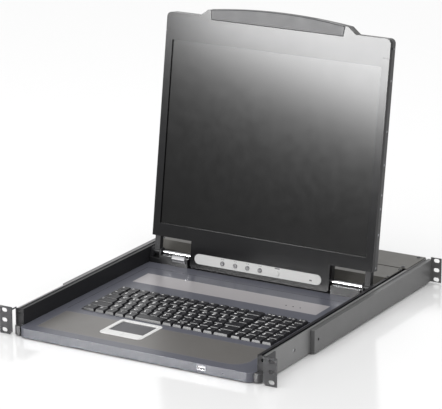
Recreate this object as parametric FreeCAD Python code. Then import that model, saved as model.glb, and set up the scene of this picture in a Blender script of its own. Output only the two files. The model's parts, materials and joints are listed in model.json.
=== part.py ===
import FreeCAD, Part

import math
import os

from FreeCAD import Vector

# Rack-mount sliding console: a keyboard drawer with a fold-up display, and a switch box behind it.
# X runs across the rack, Y to the rear and Z up. Shapes are drawn from the underside up, and are
# written out with the origin at the centre of the front mounting holes, on the ears' front face.
# Paired pieces are drawn on the right side (+X) and mirrored. All lengths are in millimetres.

# Rack interface
panel_width = 482.6
panel_height = 43.65
rack_hole_inset = 8.75
rack_hole_pitch = 15.875
rack_slot_length = 10.2
rack_slot_width = 6.8
ear_thickness = 2.0
ear_offset = 3.0
ear_chamfer = 4.0
ear_return_depth = 14.0
ear_foot_length = 27.0
ear_bottom_gap = 2.6

# Sheet metal and chassis sides
sheet = 1.2
ear_reach = 25.3
chassis_front_y = 12.0
chassis_rear_y = 549.0
chassis_bottom_z = 2.6
chassis_top_z = 40.6
chassis_top_flange = 3.0
chassis_bottom_flange = 9.0
side_hole_y = 100.0
side_hole_length = 8.0
side_hole_width = 5.0

# Three-member ball slides, one on each side
slide_height = 30.0
slide_middle_z = 21.8
slide_wall = 1.2
slide_ball_gap = 2.6
slide_outer_depth = 7.9
slide_middle_depth = 5.1
slide_inner_depth = 5.2
slide_middle_web_gap = 1.2
slide_outer_length = 440.0
slide_middle_length = 400.0
slide_inner_length = 420.0
slide_front_gap = 2.0
ball_radius = 1.25
ball_clearance = 0.05
balls_per_run = 8
ball_pitch = 20.0
outer_run_y = 130.0
inner_run_y = 140.0
cage_thickness = 1.6
cage_width = 3.6
outer_run_inset = 1.4

# Keyboard drawer
slide_space = 9.6
drawer_front_y = 10.0
drawer_box_gap = 3.0
drawer_bottom_z = 1.5
drawer_lip = 4.5
drawer_flange_reach = 11.5
drawer_flange_hole_radius = 2.5
drawer_flange_hole_inset = 3.0
drawer_flange_hole_drop = 7.0
piece_gap = 0.3

# Tray moulding
tray_front_y = -5.0
tray_rear_y = 376.0
tray_top_z = 15.6
tray_skin = 2.5
tray_corner_radius = 10.0
nose_plate_length = 50.0
key_row_count = 6
end_cap_depth = 10.5
end_cap_radius = 6.0
inlay_depth = 1.0
palm_left_x = -184.0
palm_right_x = 176.0
palm_front_y = 15.0
palm_rear_y = 99.0
palm_radius = 28.0
strip_left_x = -172.0
strip_right_x = 160.0
strip_front_y = 274.0
strip_rear_y = 322.0

# Touchpad
pad_centre_x = -50.5
pad_frame_width = 75.0
pad_frame_front_y = 38.0
pad_frame_rear_y = 108.0
pad_frame_radius = 7.0
pad_frame_rise = 0.8
pad_width = 61.0
pad_front_y = 57.0
pad_rear_y = 100.0
pad_surface_drop = 0.6
pad_base_thickness = 1.6
pad_base_margin = 3.0
pad_button_front_y = 41.0
pad_button_rear_y = 54.0
pad_button_width = 33.0
pad_button_height = 3.0
pad_button_gap = 0.6

# Keyboard
key_left_x = -168.0
key_front_y = 117.0
key_pitch_x = 18.0
key_pitch_y = 20.2
key_gap = 1.6
key_top_z = 19.2
key_height = 5.0
key_taper = 1.3
main_block_units = 14.5
number_block_gap = 3.0
number_block_units = 4
keyboard_base_top_z = 11.0
keyboard_base_thickness = 1.5
keyboard_margin = 1.5

# Front socket
usb_centre_x = 118.0
usb_centre_z = 9.5
usb_width = 14.5
usb_height = 7.0
usb_depth = 14.0
usb_wall = 0.8
usb_tongue = 2.0
reset_hole_depth = 5.0
reset_hole_x = 154.8
reset_hole_z = 7.0
reset_hole_radius = 1.1

# Display hinge
hinge_y = 388.3
hinge_z = 32.6
lid_lean_deg = 8.0
shaft_radius = 2.5
shaft_clearance = 0.05
shaft_inner_x = 122.0
arm_wall_gap = 1.5
arm_width = 10.0
arm_thickness = 10.0
arm_eye_radius = 6.5
arm_top_u = 43.5
lug_radius = 7.0
lug_inner_width = 3.2
lug_foot_half = 9.0

# Hinge platform
platform_inner_x = 131.0
platform_top_z = 29.5
platform_low_z = 24.0
lug_step_gap = 0.4
platform_wall = 2.0
trough_floor_z = 12.4
swing_clearance = 0.8
lever_left_x = -158.0
lever_width = 24.0
lever_reach = 5.0
lever_bottom_z = 23.0
lever_height = 11.0
lever_nose_z = 28.6
lever_stem_width = 8.0
lever_stem_inset = 4.0
lever_stem_height = 3.2
lever_travel = 6.0

# Rear cover of the drawer
rear_cover_lip_gap = 0.2
rear_cover_slope = 12.0
rear_cover_overhang = 4.4

# Display lid, drawn upright round the hinge axis: u is the height above that axis
lid_side_gap = 4.2
lid_thickness = 18.0
lid_wall = 2.0
lid_skin = 2.5
lid_split_y = -1.0
lid_bottom_u = 27.0
lid_top_u = 394.0
lid_corner_radius = 8.0
lid_centre_half_width = 127.0
lid_centre_bottom_u = -16.6
lid_centre_radius = 5.0
lid_shoulder_x = 140.0
lid_crown_x = 126.0
lid_crown_side_u = 404.8
lid_crown_top_u = 412.6
screen_half_width = 188.35
screen_bottom_u = 48.4
screen_height = 301.4
panel_margin = 4.0
panel_thickness = 9.5
grip_half_width = 118.4
grip_flare = 2.4
grip_bottom_u = 389.2
grip_proud = 0.8
grip_gap = 0.2
pill_centre_x = -2.5
pill_length = 232.0
pill_width = 16.5
pill_proud = 0.8
osd_button_x = (-66.4, -42.8, -20.2, 2.8)
osd_power_x = 34.6
osd_button_u = -1.0
osd_button_radius = 3.6
osd_button_rise = 1.2
osd_button_flange = 1.2
osd_flange_overlap = 0.6
osd_button_clearance = 0.3
lid_screw_u = (31.9, 85.0, 126.3, 148.3, 196.0, 248.6, 328.1)
lid_screw_y = 3.5
lid_screw_radius = 1.9
lid_screw_proud = 0.3
lid_screw_end_gap = 0.3
catch_u = 378.7
catch_pin_radius = 1.5
catch_pin_reach = 2.4
catch_block = 8.0
catch_block_height = 13.0
catch_slit_u = 363.4
catch_slit_length = 11.0
catch_slit_width = 1.0

# Rear depth-adjusting brackets
bracket_front_y = 150.0
bracket_rear_reach = 5.6
bracket_depth = 7.8
bracket_bottom_z = 2.6
bracket_top_z = 38.6
bracket_sheet = 1.5
bracket_gap = 0.4
bracket_lip = 5.0
bracket_ear_inset = 0.3
bracket_ear_height = 41.0
bracket_hole_inset = 12.0
bracket_hole_radius = 2.4
guide_rear_inset = 4.0
guide_length = 185.0
guide_neck_half = 9.0
guide_head_half = 15.0
guide_clearance = 0.5

# Switch box
box_depth = 69.0
box_top_z = 42.0
box_flange = 12.0
board_thickness = 1.6
box_board_z = 7.0
box_board_left_x = -118.0
box_board_wall_gap = 11.0
port_count = 8
port_first_x = -85.0
port_pitch = 33.0
port_z = 20.0
port_plate_width = 31.0
port_plate_height = 12.5
port_plate_thickness = 0.8
port_shell_width = 16.4
port_shell_height = 8.0
port_shell_reach = 6.0
port_body_depth = 12.0
port_shell_radius = 2.5
inlet_x = -184.0
inlet_z = 20.0
inlet_width = 27.0
inlet_height = 20.0
inlet_cavity_width = 24.0
inlet_cavity_height = 16.5
inlet_cavity_depth = 16.0
inlet_depth = 22.0
inlet_rim = 2.0
inlet_pin_width = 4.0
inlet_pin_height = 2.0
inlet_pin_pitch = 7.0
inlet_pin_setback = 4.0
rocker_x = -150.0
rocker_z = 20.0
rocker_width = 12.0
rocker_height = 18.0
rocker_depth = 10.0
rocker_tilt_deg = 8.0
rocker_gap = 1.2
rocker_pivot_radius = 1.5
rocker_pivot_clearance = 0.05
rocker_pivot_reach = 1.6
rocker_frame_wall = 1.6
rocker_frame_gap = 0.5
supply_wall_gap = 6.0
supply_length = 82.0
supply_depth = 34.0
supply_height = 33.0
supply_radius = 1.5

# Circuit boards and their components
board_post_size = 6.0
board_post_front_inset = 2.0
board_post_rear_inset = 10.0
board_post_side_inset = 4.0
switch_chip_size = 20.0
switch_chip_height = 3.0
switch_chip_inset = 10.0
switch_chip_first_x = -90.0
switch_chip_pitch = 50.0
switch_chip_count = 6
driver_board_left_x = -110.0
driver_board_right_x = 70.0
driver_board_front_gap = 2.0
driver_post_rear_inset = 8.0
driver_post_side_inset = 2.0
processor_x = -90.0
processor_inset = 14.0
processor_size = 22.0
processor_height = 3.0
memory_x = -40.0
memory_inset = 20.0
memory_size = 16.0
memory_height = 2.0
inverter_x = 20.0
inverter_inset = 12.0
inverter_size = 28.0
inverter_height = 10.0

# Fasteners
screw_head_radius = 3.2
screw_head_height = 1.4
screw_shank_radius = 1.6
screw_shank_length = 2 * sheet
screw_hole_clearance = 0.1
cover_screw_head_radius = 2.1
cover_screw_shank_radius = 1.2

origin_height = panel_height / 2
rack_hole_span = panel_width - 2 * rack_hole_inset
chassis_half_width = panel_width / 2 - ear_reach
ear_inner_x = chassis_half_width + ear_offset
drawer_half_width = chassis_half_width - sheet - slide_space
lid_half_width = drawer_half_width - lid_side_gap
arm_inner_x = lid_half_width - lid_wall - arm_wall_gap - arm_width
platform_low_x = arm_inner_x - piece_gap - lug_inner_width - lug_step_gap
lid_screw_length = lid_wall + arm_wall_gap - lid_screw_end_gap
box_front_y = chassis_rear_y - box_depth
drawer_rear_y = box_front_y - drawer_box_gap
bracket_rear_y = chassis_rear_y + bracket_rear_reach
rear_cover_top_z = chassis_top_z + rear_cover_lip_gap + sheet
bracket_outer_x = chassis_half_width + bracket_depth
bracket_ear_edge_x = panel_width / 2 - bracket_ear_inset
guide_rear_y = chassis_rear_y - guide_rear_inset
guide_front_y = guide_rear_y - guide_length
box_board_right_x = chassis_half_width - box_board_wall_gap
supply_left_x = supply_wall_gap - chassis_half_width
supply_right_x = supply_left_x + supply_length
rack_hole_heights = [origin_height + step * rack_hole_pitch for step in (-1, 0, 1)]
wall_inner_x = chassis_half_width - sheet
drawer_inner_x = drawer_half_width - sheet
tray_half_width = drawer_inner_x - 2 * piece_gap


def slab(x_range, y_range, z_range):
    """A rectangular block given by its low and high coordinates."""
    size = [span[1] - span[0] for span in (x_range, y_range, z_range)]
    return Part.makeBox(size[0], size[1], size[2], Vector(x_range[0], y_range[0], z_range[0]))


def rod(radius, start, end):
    """A round bar between two points."""
    path = Vector(*end) - Vector(*start)
    return Part.makeCylinder(radius, path.Length, Vector(*start), path)


def fuse(*shapes):
    """One solid from several that touch or overlap."""
    return shapes[0].multiFuse(list(shapes[1:])).removeSplitter()


def cut(shape, *tools):
    """The shape with every tool's volume taken away."""
    return shape.cut(Part.makeCompound(list(tools)))


def mirrored(shape):
    """The same piece on the other side of the centre plane."""
    return shape.mirror(Vector(0, 0, 0), Vector(1, 0, 0))


def both_sides(shape):
    """The right-hand piece and its left-hand twin."""
    return Part.makeCompound([shape, mirrored(shape)])


def rounded_slab(x_range, y_range, z_range, radius, direction="z"):
    """A block whose four edges along one direction are rounded."""
    block = slab(x_range, y_range, z_range)
    along = {"x": Vector(1, 0, 0), "y": Vector(0, 1, 0), "z": Vector(0, 0, 1)}[direction]
    edges = [edge for edge in block.Edges if abs(edge.tangentAt(edge.FirstParameter).dot(along)) > 0.99]
    return block.makeFillet(radius, edges)


def flat_slot(centre, length, width, y_range):
    """A cutter for an oval hole through a plate that faces the rack, long across it."""
    x, z = centre
    return rounded_slab(
        (x - length / 2, x + length / 2), y_range, (z - width / 2, z + width / 2), width / 2 - 0.01, "y"
    )


def profile_along_x(points, x_range):
    """A bar of constant section: the points are (y, z) corners."""
    corners = [Vector(x_range[0], y, z) for y, z in points]
    face = Part.Face(Part.makePolygon(corners + [corners[0]]))
    return face.extrude(Vector(x_range[1] - x_range[0], 0, 0))


def save(name, shape):
    """Writes one node, with the origin moved to the centre of the front mounting holes."""
    placed = shape.copy()
    placed.translate(Vector(0, 0, -origin_height))
    placed.exportStep(f"parts/{name}.step")


# ---------------------------------------------------------------- rack ears and chassis sides


def front_ear():
    """Right front ear: slotted plate, a windowed return and a foot on the chassis side."""
    outer_x = panel_width / 2
    plate = slab((ear_inner_x, outer_x), (0, ear_thickness), (0, panel_height))
    corner = profile_along_x([(0, 0), (0, ear_chamfer), (ear_chamfer, 0)], (0, ear_thickness))
    corner.rotate(Vector(0, 0, 0), Vector(0, 0, 1), 90)
    corner.translate(Vector(ear_inner_x + ear_chamfer, 0, 0))
    corner = corner.mirror(Vector(ear_inner_x + ear_chamfer / 2, 0, 0), Vector(1, 0, 0))
    slots = [
        flat_slot((rack_hole_span / 2, height), rack_slot_length, rack_slot_width, (-1, ear_thickness + 1))
        for height in rack_hole_heights
    ]
    plate = cut(plate, corner, *slots)
    low = ear_bottom_gap + ear_chamfer
    high = panel_height - ear_bottom_gap
    side = slab((ear_inner_x, ear_inner_x + sheet), (0, ear_return_depth), (low, high))
    window = slab(
        (ear_inner_x - 1, ear_inner_x + sheet + 1),
        (ear_thickness, ear_return_depth - sheet),
        (low - 1, high - ear_thickness),
    )
    side = cut(side, window)
    step_y = (ear_return_depth - sheet, ear_return_depth)
    step = slab((chassis_half_width, ear_inner_x + sheet), step_y, (low, high - ear_thickness))
    foot_y = (ear_return_depth - sheet, ear_return_depth + ear_foot_length)
    foot = slab((chassis_half_width, chassis_half_width + sheet), foot_y, (low, high - ear_thickness))
    holes = [rod(screw_shank_radius + screw_hole_clearance, start, end) for start, end in ear_screw_axes()]
    return cut(fuse(plate, side, step, foot), *holes)


def ear_screw_axes():
    """Axes of the two screws that hold an ear to the chassis side."""
    y = ear_return_depth + ear_foot_length / 2
    heights = [origin_height - rack_hole_pitch / 2, origin_height + rack_hole_pitch / 2]
    inner = chassis_half_width + sheet - screw_shank_length
    outer = chassis_half_width + sheet
    return [((inner, y, z), (outer, y, z)) for z in heights]


def chassis_side():
    """Right side wall of the chassis, with its top and bottom flanges."""
    wall = slab(
        (wall_inner_x, chassis_half_width),
        (chassis_front_y, chassis_rear_y),
        (chassis_bottom_z, chassis_top_z),
    )
    flange_y = (chassis_front_y, box_front_y - 1)
    top_x = (chassis_half_width - chassis_top_flange, chassis_half_width)
    top = slab(top_x, flange_y, (chassis_top_z - sheet, chassis_top_z))
    bottom_x = (chassis_half_width - chassis_bottom_flange, chassis_half_width)
    bottom = slab(bottom_x, flange_y, (chassis_bottom_z, chassis_bottom_z + sheet))
    across = (wall_inner_x - 1, chassis_half_width + 1)
    hole = rounded_slab(
        across,
        (side_hole_y - side_hole_length / 2, side_hole_y + side_hole_length / 2),
        (slide_middle_z - side_hole_width / 2, slide_middle_z + side_hole_width / 2),
        side_hole_width / 2 - 0.01,
        "x",
    )
    screws = [rod(screw_shank_radius + screw_hole_clearance, start, end) for start, end in ear_screw_axes()]
    return cut(fuse(wall, top, bottom), hole, *screws)


def screw(base, direction, head_radius=screw_head_radius, shank_radius=screw_shank_radius):
    """A pan-head screw: base is the point where the head meets the sheet."""
    out = Vector(*direction)
    top = Vector(*base) + out * screw_head_height
    head = Part.makeCylinder(head_radius, screw_head_height, Vector(*base), out)
    rim = [edge for edge in head.Edges if edge.Closed and edge.CenterOfMass.distanceToPoint(top) < 0.01]
    head = head.makeChamfer(screw_head_height / 3, rim)
    shank = Part.makeCylinder(shank_radius, screw_shank_length, Vector(*base), out * -1)
    return head.fuse(shank)


def cover_screw_points(y_values, x_value):
    """Places of the screws in a top cover, on both sides of the centre."""
    return [(side * x_value, y) for y in y_values for side in (-1, 1)]


# ---------------------------------------------------------------- slides


def channel(web_x, reach, height, y_range):
    """A slide member: a web with a flange along its top and bottom. The reach is signed along X."""
    low = slide_middle_z - height / 2
    high = slide_middle_z + height / 2
    web = slab((web_x, web_x + slide_wall), y_range, (low, high))
    flange_x = (web_x, web_x + reach) if reach > 0 else (web_x + slide_wall + reach, web_x + slide_wall)
    bottom = slab(flange_x, y_range, (low, low + slide_wall))
    top = slab(flange_x, y_range, (high - slide_wall, high))
    return fuse(web, bottom, top)


slide_front_y = chassis_front_y + slide_front_gap
slide_step = 2 * (slide_wall + slide_ball_gap)
middle_height = slide_height - slide_step
inner_height = middle_height - slide_step
outer_web_x = wall_inner_x - slide_wall
middle_web_x = outer_web_x - slide_middle_web_gap - slide_wall
inner_web_x = drawer_half_width


def slide_outer():
    """Member fixed to the chassis side."""
    return channel(outer_web_x, -slide_outer_depth, slide_height, (slide_front_y, slide_front_y + slide_outer_length))


def slide_middle():
    """Member between the chassis and the drawer, which moves half as far as the drawer."""
    return channel(middle_web_x, -slide_middle_depth, middle_height, (slide_front_y, slide_front_y + slide_middle_length))


def slide_inner():
    """Member fixed to the drawer side."""
    return channel(inner_web_x, slide_inner_depth, inner_height, (chassis_front_y, chassis_front_y + slide_inner_length))


def ball_run(first_y, centre_x, half_height):
    """Balls and their cages above and below one slide member."""
    solids = []
    for side in (-1, 1):
        z = slide_middle_z + side * half_height
        cage_y = (first_y - ball_pitch / 2, first_y + (balls_per_run - 0.5) * ball_pitch)
        cage_x = (centre_x - cage_width / 2, centre_x + cage_width / 2)
        cage = slab(cage_x, cage_y, (z - cage_thickness / 2, z + cage_thickness / 2))
        pockets = []
        for index in range(balls_per_run):
            y = first_y + index * ball_pitch
            pockets.append(rod(ball_radius + ball_clearance, (centre_x, y, z - 2), (centre_x, y, z + 2)))
            solids.append(Part.makeSphere(ball_radius, Vector(centre_x, y, z)))
        solids.append(cut(cage, *pockets))
    return Part.makeCompound(solids)


def outer_ball_run():
    """Balls between the fixed and the middle member."""
    half_height = slide_height / 2 - slide_wall - slide_ball_gap / 2
    return ball_run(outer_run_y, middle_web_x - outer_run_inset, half_height)


def inner_ball_run():
    """Balls between the middle and the drawer member."""
    half_height = middle_height / 2 - slide_wall - slide_ball_gap / 2
    return ball_run(inner_run_y, middle_web_x - cage_width / 2 - 2 * piece_gap, half_height)


# ---------------------------------------------------------------- drawer


def drawer_side():
    """Right side panel of the drawer: wall, top lip and a front flange over the slide's end."""
    y_range = (drawer_front_y, drawer_rear_y)
    wall = slab((drawer_inner_x, drawer_half_width), y_range, (drawer_bottom_z, chassis_top_z))
    lip = slab((drawer_inner_x, drawer_inner_x + drawer_lip), y_range, (chassis_top_z - sheet, chassis_top_z))
    flange_x = (drawer_inner_x, drawer_inner_x + drawer_flange_reach)
    flange = slab(flange_x, (drawer_front_y, drawer_front_y + sheet), (tray_top_z + piece_gap, chassis_top_z))
    hole_x = flange_x[1] - drawer_flange_hole_inset
    hole_z = chassis_top_z - drawer_flange_hole_drop
    hole = rod(drawer_flange_hole_radius, (hole_x, drawer_front_y - 1, hole_z), (hole_x, drawer_front_y + 3, hole_z))
    return cut(fuse(wall, lip, flange), hole, *drawer_screw_holes())


def tray_bottom_plate():
    """Steel floor of the drawer, from the nose to the rear cover."""
    y_range = (tray_front_y + tray_skin + piece_gap, drawer_rear_y)
    top_z = drawer_bottom_z + sheet
    plate = slab((-drawer_inner_x, drawer_inner_x), (drawer_front_y, y_range[1]), (drawer_bottom_z, top_z))
    nose_half = tray_half_width - tray_skin - piece_gap
    nose = rounded_slab(
        (-nose_half, nose_half),
        (y_range[0], y_range[0] + nose_plate_length),
        (drawer_bottom_z, top_z),
        tray_corner_radius - tray_skin,
    )
    return fuse(plate, nose)


def inlay(x_range, y_range, depth, radius):
    """A thin inlaid panel flush with the tray's top, or the cutter for its seat."""
    corner = Vector(x_range[1], y_range[0], 0)
    panel = slab(x_range, y_range, (tray_top_z - depth, tray_top_z))
    edges = [
        edge for edge in panel.Edges
        if abs(edge.tangentAt(edge.FirstParameter).z) > 0.99 and abs(edge.CenterOfMass.x - corner.x) < 0.01
        and abs(edge.CenterOfMass.y - corner.y) < 0.01
    ]
    return panel.makeFillet(radius, edges)


def palm_inlay(gap=0.0):
    """Palm rest sheet, with one large front corner."""
    return inlay(
        (palm_left_x - gap, palm_right_x + gap), (palm_front_y - gap, palm_rear_y + gap), inlay_depth + gap, palm_radius
    )


def strip_inlay(gap=0.0):
    """Light strip that carries the lock indicators."""
    return slab(
        (strip_left_x - gap, strip_right_x + gap),
        (strip_front_y - gap, strip_rear_y + gap),
        (tray_top_z - inlay_depth - gap, tray_top_z),
    )


def keyboard_window():
    """Cutter for the opening that the keys stand in."""
    right_x = key_left_x + (main_block_units + number_block_units) * key_pitch_x + number_block_gap
    rear_y = key_front_y + key_row_count * key_pitch_y
    return slab(
        (key_left_x - keyboard_margin, right_x + keyboard_margin),
        (key_front_y - keyboard_margin, rear_y + keyboard_margin),
        (tray_top_z - 2 * tray_skin, tray_top_z + 1),
    )


def touchpad_outline(gap=0.0, z_range=(0, 0)):
    """Rounded block round the touchpad and its buttons."""
    half = pad_frame_width / 2 + gap
    return rounded_slab(
        (pad_centre_x - half, pad_centre_x + half),
        (pad_frame_front_y - gap, pad_frame_rear_y + gap),
        z_range,
        pad_frame_radius,
    )


def tray_top_cover():
    """Plastic top of the drawer: nose, skin and skirts, open for the keys and the touchpad."""
    outer = slab((-tray_half_width, tray_half_width), (tray_front_y, tray_rear_y), (drawer_bottom_z, tray_top_z))
    front_edges = [
        edge for edge in outer.Edges
        if abs(edge.tangentAt(edge.FirstParameter).z) > 0.99 and edge.CenterOfMass.y < tray_front_y + 1
    ]
    outer = outer.makeFillet(tray_corner_radius, front_edges)
    inner_half = tray_half_width - tray_skin
    inner = slab(
        (-inner_half, inner_half), (tray_front_y + tray_skin, tray_rear_y + 1), (drawer_bottom_z - 1, tray_top_z - tray_skin)
    )
    inner_edges = [
        edge for edge in inner.Edges
        if abs(edge.tangentAt(edge.FirstParameter).z) > 0.99 and edge.CenterOfMass.y < tray_front_y + tray_skin + 1
    ]
    inner = inner.makeFillet(tray_corner_radius - tray_skin, inner_edges)
    floor_seat = slab(
        (-drawer_half_width, drawer_half_width),
        (drawer_front_y - piece_gap, tray_rear_y + 1),
        (drawer_bottom_z - 1, drawer_bottom_z + sheet),
    )
    window = keyboard_window().BoundBox
    rim = slab(
        (window.XMin - tray_skin, window.XMax + tray_skin),
        (window.YMin - tray_skin, window.YMax + tray_skin),
        (keyboard_base_top_z, tray_top_z),
    )
    pad_seat = touchpad_outline(piece_gap, (tray_top_z - 2 * tray_skin, tray_top_z + 1))
    usb_seat = slab(
        (usb_centre_x - usb_width / 2 - piece_gap, usb_centre_x + usb_width / 2 + piece_gap),
        (tray_front_y - 1, tray_front_y + tray_skin + 1),
        (usb_centre_z - usb_height / 2 - piece_gap, usb_centre_z + usb_height / 2 + piece_gap),
    )
    reset = rod(
        reset_hole_radius,
        (reset_hole_x, tray_front_y - 1, reset_hole_z),
        (reset_hole_x, tray_front_y + reset_hole_depth, reset_hole_z),
    )
    shell = fuse(cut(outer, inner, floor_seat), rim)
    return cut(shell, keyboard_window(), pad_seat, palm_inlay(), strip_inlay(), usb_seat, reset)


def rail_end_cap():
    """Plastic cap beside the tray's nose, below the side panel's front flange."""
    x_range = (tray_half_width + piece_gap, drawer_inner_x + drawer_flange_reach)
    y_range = (drawer_front_y - end_cap_depth, drawer_front_y - piece_gap)
    block = slab(x_range, y_range, (drawer_bottom_z, tray_top_z))
    edges = [
        edge for edge in block.Edges
        if abs(edge.tangentAt(edge.FirstParameter).z) > 0.99
        and edge.CenterOfMass.x > x_range[1] - 1 and edge.CenterOfMass.y < y_range[0] + 1
    ]
    return block.makeFillet(end_cap_radius, edges)


def palm_rest_panel():
    """Palm rest sheet, cut out round the touchpad's frame."""
    return cut(palm_inlay(), touchpad_outline(piece_gap, (tray_top_z - tray_skin, tray_top_z + 1)))


def touchpad_frame():
    """Raised frame with a window for the pad and one for its two buttons."""
    bottom_z = tray_top_z - tray_skin
    body = touchpad_outline(0, (bottom_z, tray_top_z + pad_frame_rise))
    window_z = (bottom_z - 1, tray_top_z + pad_frame_rise + 1)
    half = pad_width / 2 + piece_gap
    pad_window = slab(
        (pad_centre_x - half, pad_centre_x + half), (pad_front_y - piece_gap, pad_rear_y + piece_gap), window_z
    )
    button_half = pad_button_width + pad_button_gap / 2 + piece_gap
    button_window = slab(
        (pad_centre_x - button_half, pad_centre_x + button_half),
        (pad_button_front_y - piece_gap, pad_button_rear_y + piece_gap),
        window_z,
    )
    return cut(body, pad_window, button_window)


def touchpad_surface():
    """Touch-sensitive plate a little below its frame, on a base fixed under the tray's skin."""
    half = pad_width / 2
    bottom_z = tray_top_z - tray_skin
    top_z = tray_top_z - pad_surface_drop
    plate = slab((pad_centre_x - half, pad_centre_x + half), (pad_front_y, pad_rear_y), (bottom_z, top_z))
    base_half = pad_frame_width / 2 + pad_base_margin
    base = slab(
        (pad_centre_x - base_half, pad_centre_x + base_half),
        (pad_front_y - pad_base_margin / 2, pad_frame_rear_y + pad_base_margin),
        (bottom_z - pad_base_thickness, bottom_z),
    )
    return fuse(plate, base)


def touchpad_button(side):
    """One click button: side is -1 for the left one and 1 for the right one."""
    inner_x = pad_centre_x + side * pad_button_gap / 2
    outer_x = inner_x + side * pad_button_width
    top_z = tray_top_z + pad_frame_rise
    return slab(
        (min(inner_x, outer_x), max(inner_x, outer_x)),
        (pad_button_front_y, pad_button_rear_y),
        (top_z - pad_button_height, top_z),
    )


def key_rows():
    """Widths of the keys in each row, front to rear, in key units: main block, then number block."""
    return {
        "bottom_key_row": ([1.25, 1, 1, 1, 1, 2.75, 1, 1, 1, 1, 1, 1.5], [1, 1, 1, 1]),
        "shift_key_row": ([2, 1, 1, 1, 1, 1, 1, 1, 1, 1, 1, 1, 1.5], [1, 1, 1, 1]),
        "home_key_row": ([1.75, 1, 1, 1, 1, 1, 1, 1, 1, 1, 1, 1, 1.75], [1, 1, 1, 1]),
        "upper_letter_key_row": ([1.5, 1, 1, 1, 1, 1, 1, 1, 1, 1, 1, 1, 1, 1], [1, 1, 1, 1]),
        "number_key_row": ([1, 1, 1, 1, 1, 1, 1, 1, 1, 1, 1, 1, 1, 1.5], [1, 1, 1, 1]),
        "function_key_row": ([1, 1, 1, 1, 1, 1, 1, 1, 1, 1, 1, 1, 1, 1.5], [1, 1, 1, 1]),
    }


def key_row(index, main_units, number_units):
    """All keycaps of one row, as separate solids."""
    front = key_front_y + index * key_pitch_y + key_gap / 2
    rear = front + key_pitch_y - key_gap
    number_x = key_left_x + main_block_units * key_pitch_x + number_block_gap
    caps = []
    for left_x, widths in ((key_left_x, main_units), (number_x, number_units)):
        for units in widths:
            right_x = left_x + units * key_pitch_x
            caps.append(keycap(left_x + key_gap / 2, right_x - key_gap / 2, front, rear))
            left_x = right_x
    return Part.makeCompound(caps)


def keycap(left, right, front, rear):
    """A keycap lofted between its skirt and its smaller top face."""
    bottom_z = key_top_z - key_height
    lower = rectangle_wire(left, right, front, rear, bottom_z)
    upper = rectangle_wire(left + key_taper, right - key_taper, front + key_taper, rear - key_taper, key_top_z)
    return Part.makeLoft([lower, upper], True)


def rectangle_wire(left, right, front, rear, z):
    """A closed rectangle at one height."""
    corners = [Vector(left, front, z), Vector(right, front, z), Vector(right, rear, z), Vector(left, rear, z)]
    return Part.makePolygon(corners + [corners[0]])


def keyboard_base_plate():
    """Steel plate under the keys, fixed to the rim below the tray's opening."""
    window = keyboard_window().BoundBox
    edge = tray_skin
    top_z = keyboard_base_top_z
    return slab(
        (window.XMin - edge, window.XMax + edge),
        (window.YMin - edge, window.YMax + edge),
        (top_z - keyboard_base_thickness, top_z),
    )


def front_usb_port():
    """Peripheral socket in the tray's nose, with its contact tongue."""
    x_range = (usb_centre_x - usb_width / 2, usb_centre_x + usb_width / 2)
    z_range = (usb_centre_z - usb_height / 2, usb_centre_z + usb_height / 2)
    shell = slab(x_range, (tray_front_y, tray_front_y + usb_depth), z_range)
    cavity = slab(
        (x_range[0] + usb_wall, x_range[1] - usb_wall),
        (tray_front_y - 1, tray_front_y + usb_depth - usb_wall),
        (z_range[0] + usb_wall, z_range[1] - usb_wall),
    )
    tongue = slab(
        (x_range[0] + 2 * usb_wall, x_range[1] - 2 * usb_wall),
        (tray_front_y + usb_wall, tray_front_y + usb_depth - usb_wall / 2),
        (usb_centre_z, usb_centre_z + usb_tongue),
    )
    return fuse(cut(shell, cavity), tongue)


# ---------------------------------------------------------------- hinge and drawer rear

lid_half_thickness = lid_thickness / 2
lid_swing_radius = math.hypot(lid_half_thickness, lid_centre_bottom_u) + swing_clearance
platform_rear_y = hinge_y + lid_swing_radius


def hinge_platform():
    """Black bridge behind the keyboard: two raised ends with the hinge lugs, and a trough between them."""
    floor_z = drawer_bottom_z + sheet
    front = (tray_rear_y + piece_gap, tray_rear_y + piece_gap + platform_wall)
    outer_x = drawer_inner_x - piece_gap
    depth = (front[0], platform_rear_y)
    rear = (platform_rear_y, platform_rear_y + platform_wall)
    pieces = [slab((-outer_x, outer_x), rear, (floor_z, platform_top_z))]
    pieces.append(slab((-platform_inner_x, platform_inner_x), front, (floor_z, tray_top_z)))
    trough = (trough_floor_z - platform_wall, trough_floor_z)
    pieces.append(slab((-platform_inner_x, platform_inner_x), (depth[0], rear[1]), trough))
    for side in (-1, 1):
        pieces.append(platform_end(side, front, depth, floor_z, outer_x))
    bridge = fuse(*pieces)
    slot = slab(
        (lever_left_x + lever_stem_inset - piece_gap,
         lever_left_x + lever_stem_inset + lever_stem_width + lever_travel + piece_gap),
        (front[0] - 1, front[1] + 1),
        (lever_bottom_z, lever_bottom_z + lever_stem_height + 2 * piece_gap),
    )
    return cut(bridge, slot)


def platform_end(side, front, depth, floor_z, outer_x):
    """One raised end of the bridge: front wall, inner wall and a stepped top."""
    high_x = sorted((side * platform_inner_x, side * platform_low_x))
    low_x = sorted((side * platform_low_x, side * outer_x))
    wall_x = sorted((side * platform_inner_x, side * (platform_inner_x + platform_wall)))
    step_x = sorted((side * platform_low_x, side * (platform_low_x - platform_wall)))
    high_top = (platform_top_z - platform_wall, platform_top_z)
    low_top = (platform_low_z - platform_wall, platform_low_z)
    return fuse(
        slab(high_x, front, (floor_z, platform_top_z)),
        slab(low_x, front, (floor_z, platform_low_z)),
        slab(high_x, depth, high_top),
        slab(low_x, depth, low_top),
        slab(step_x, depth, (low_top[0], platform_top_z)),
        slab(wall_x, depth, (floor_z, platform_top_z)),
    )


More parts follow.
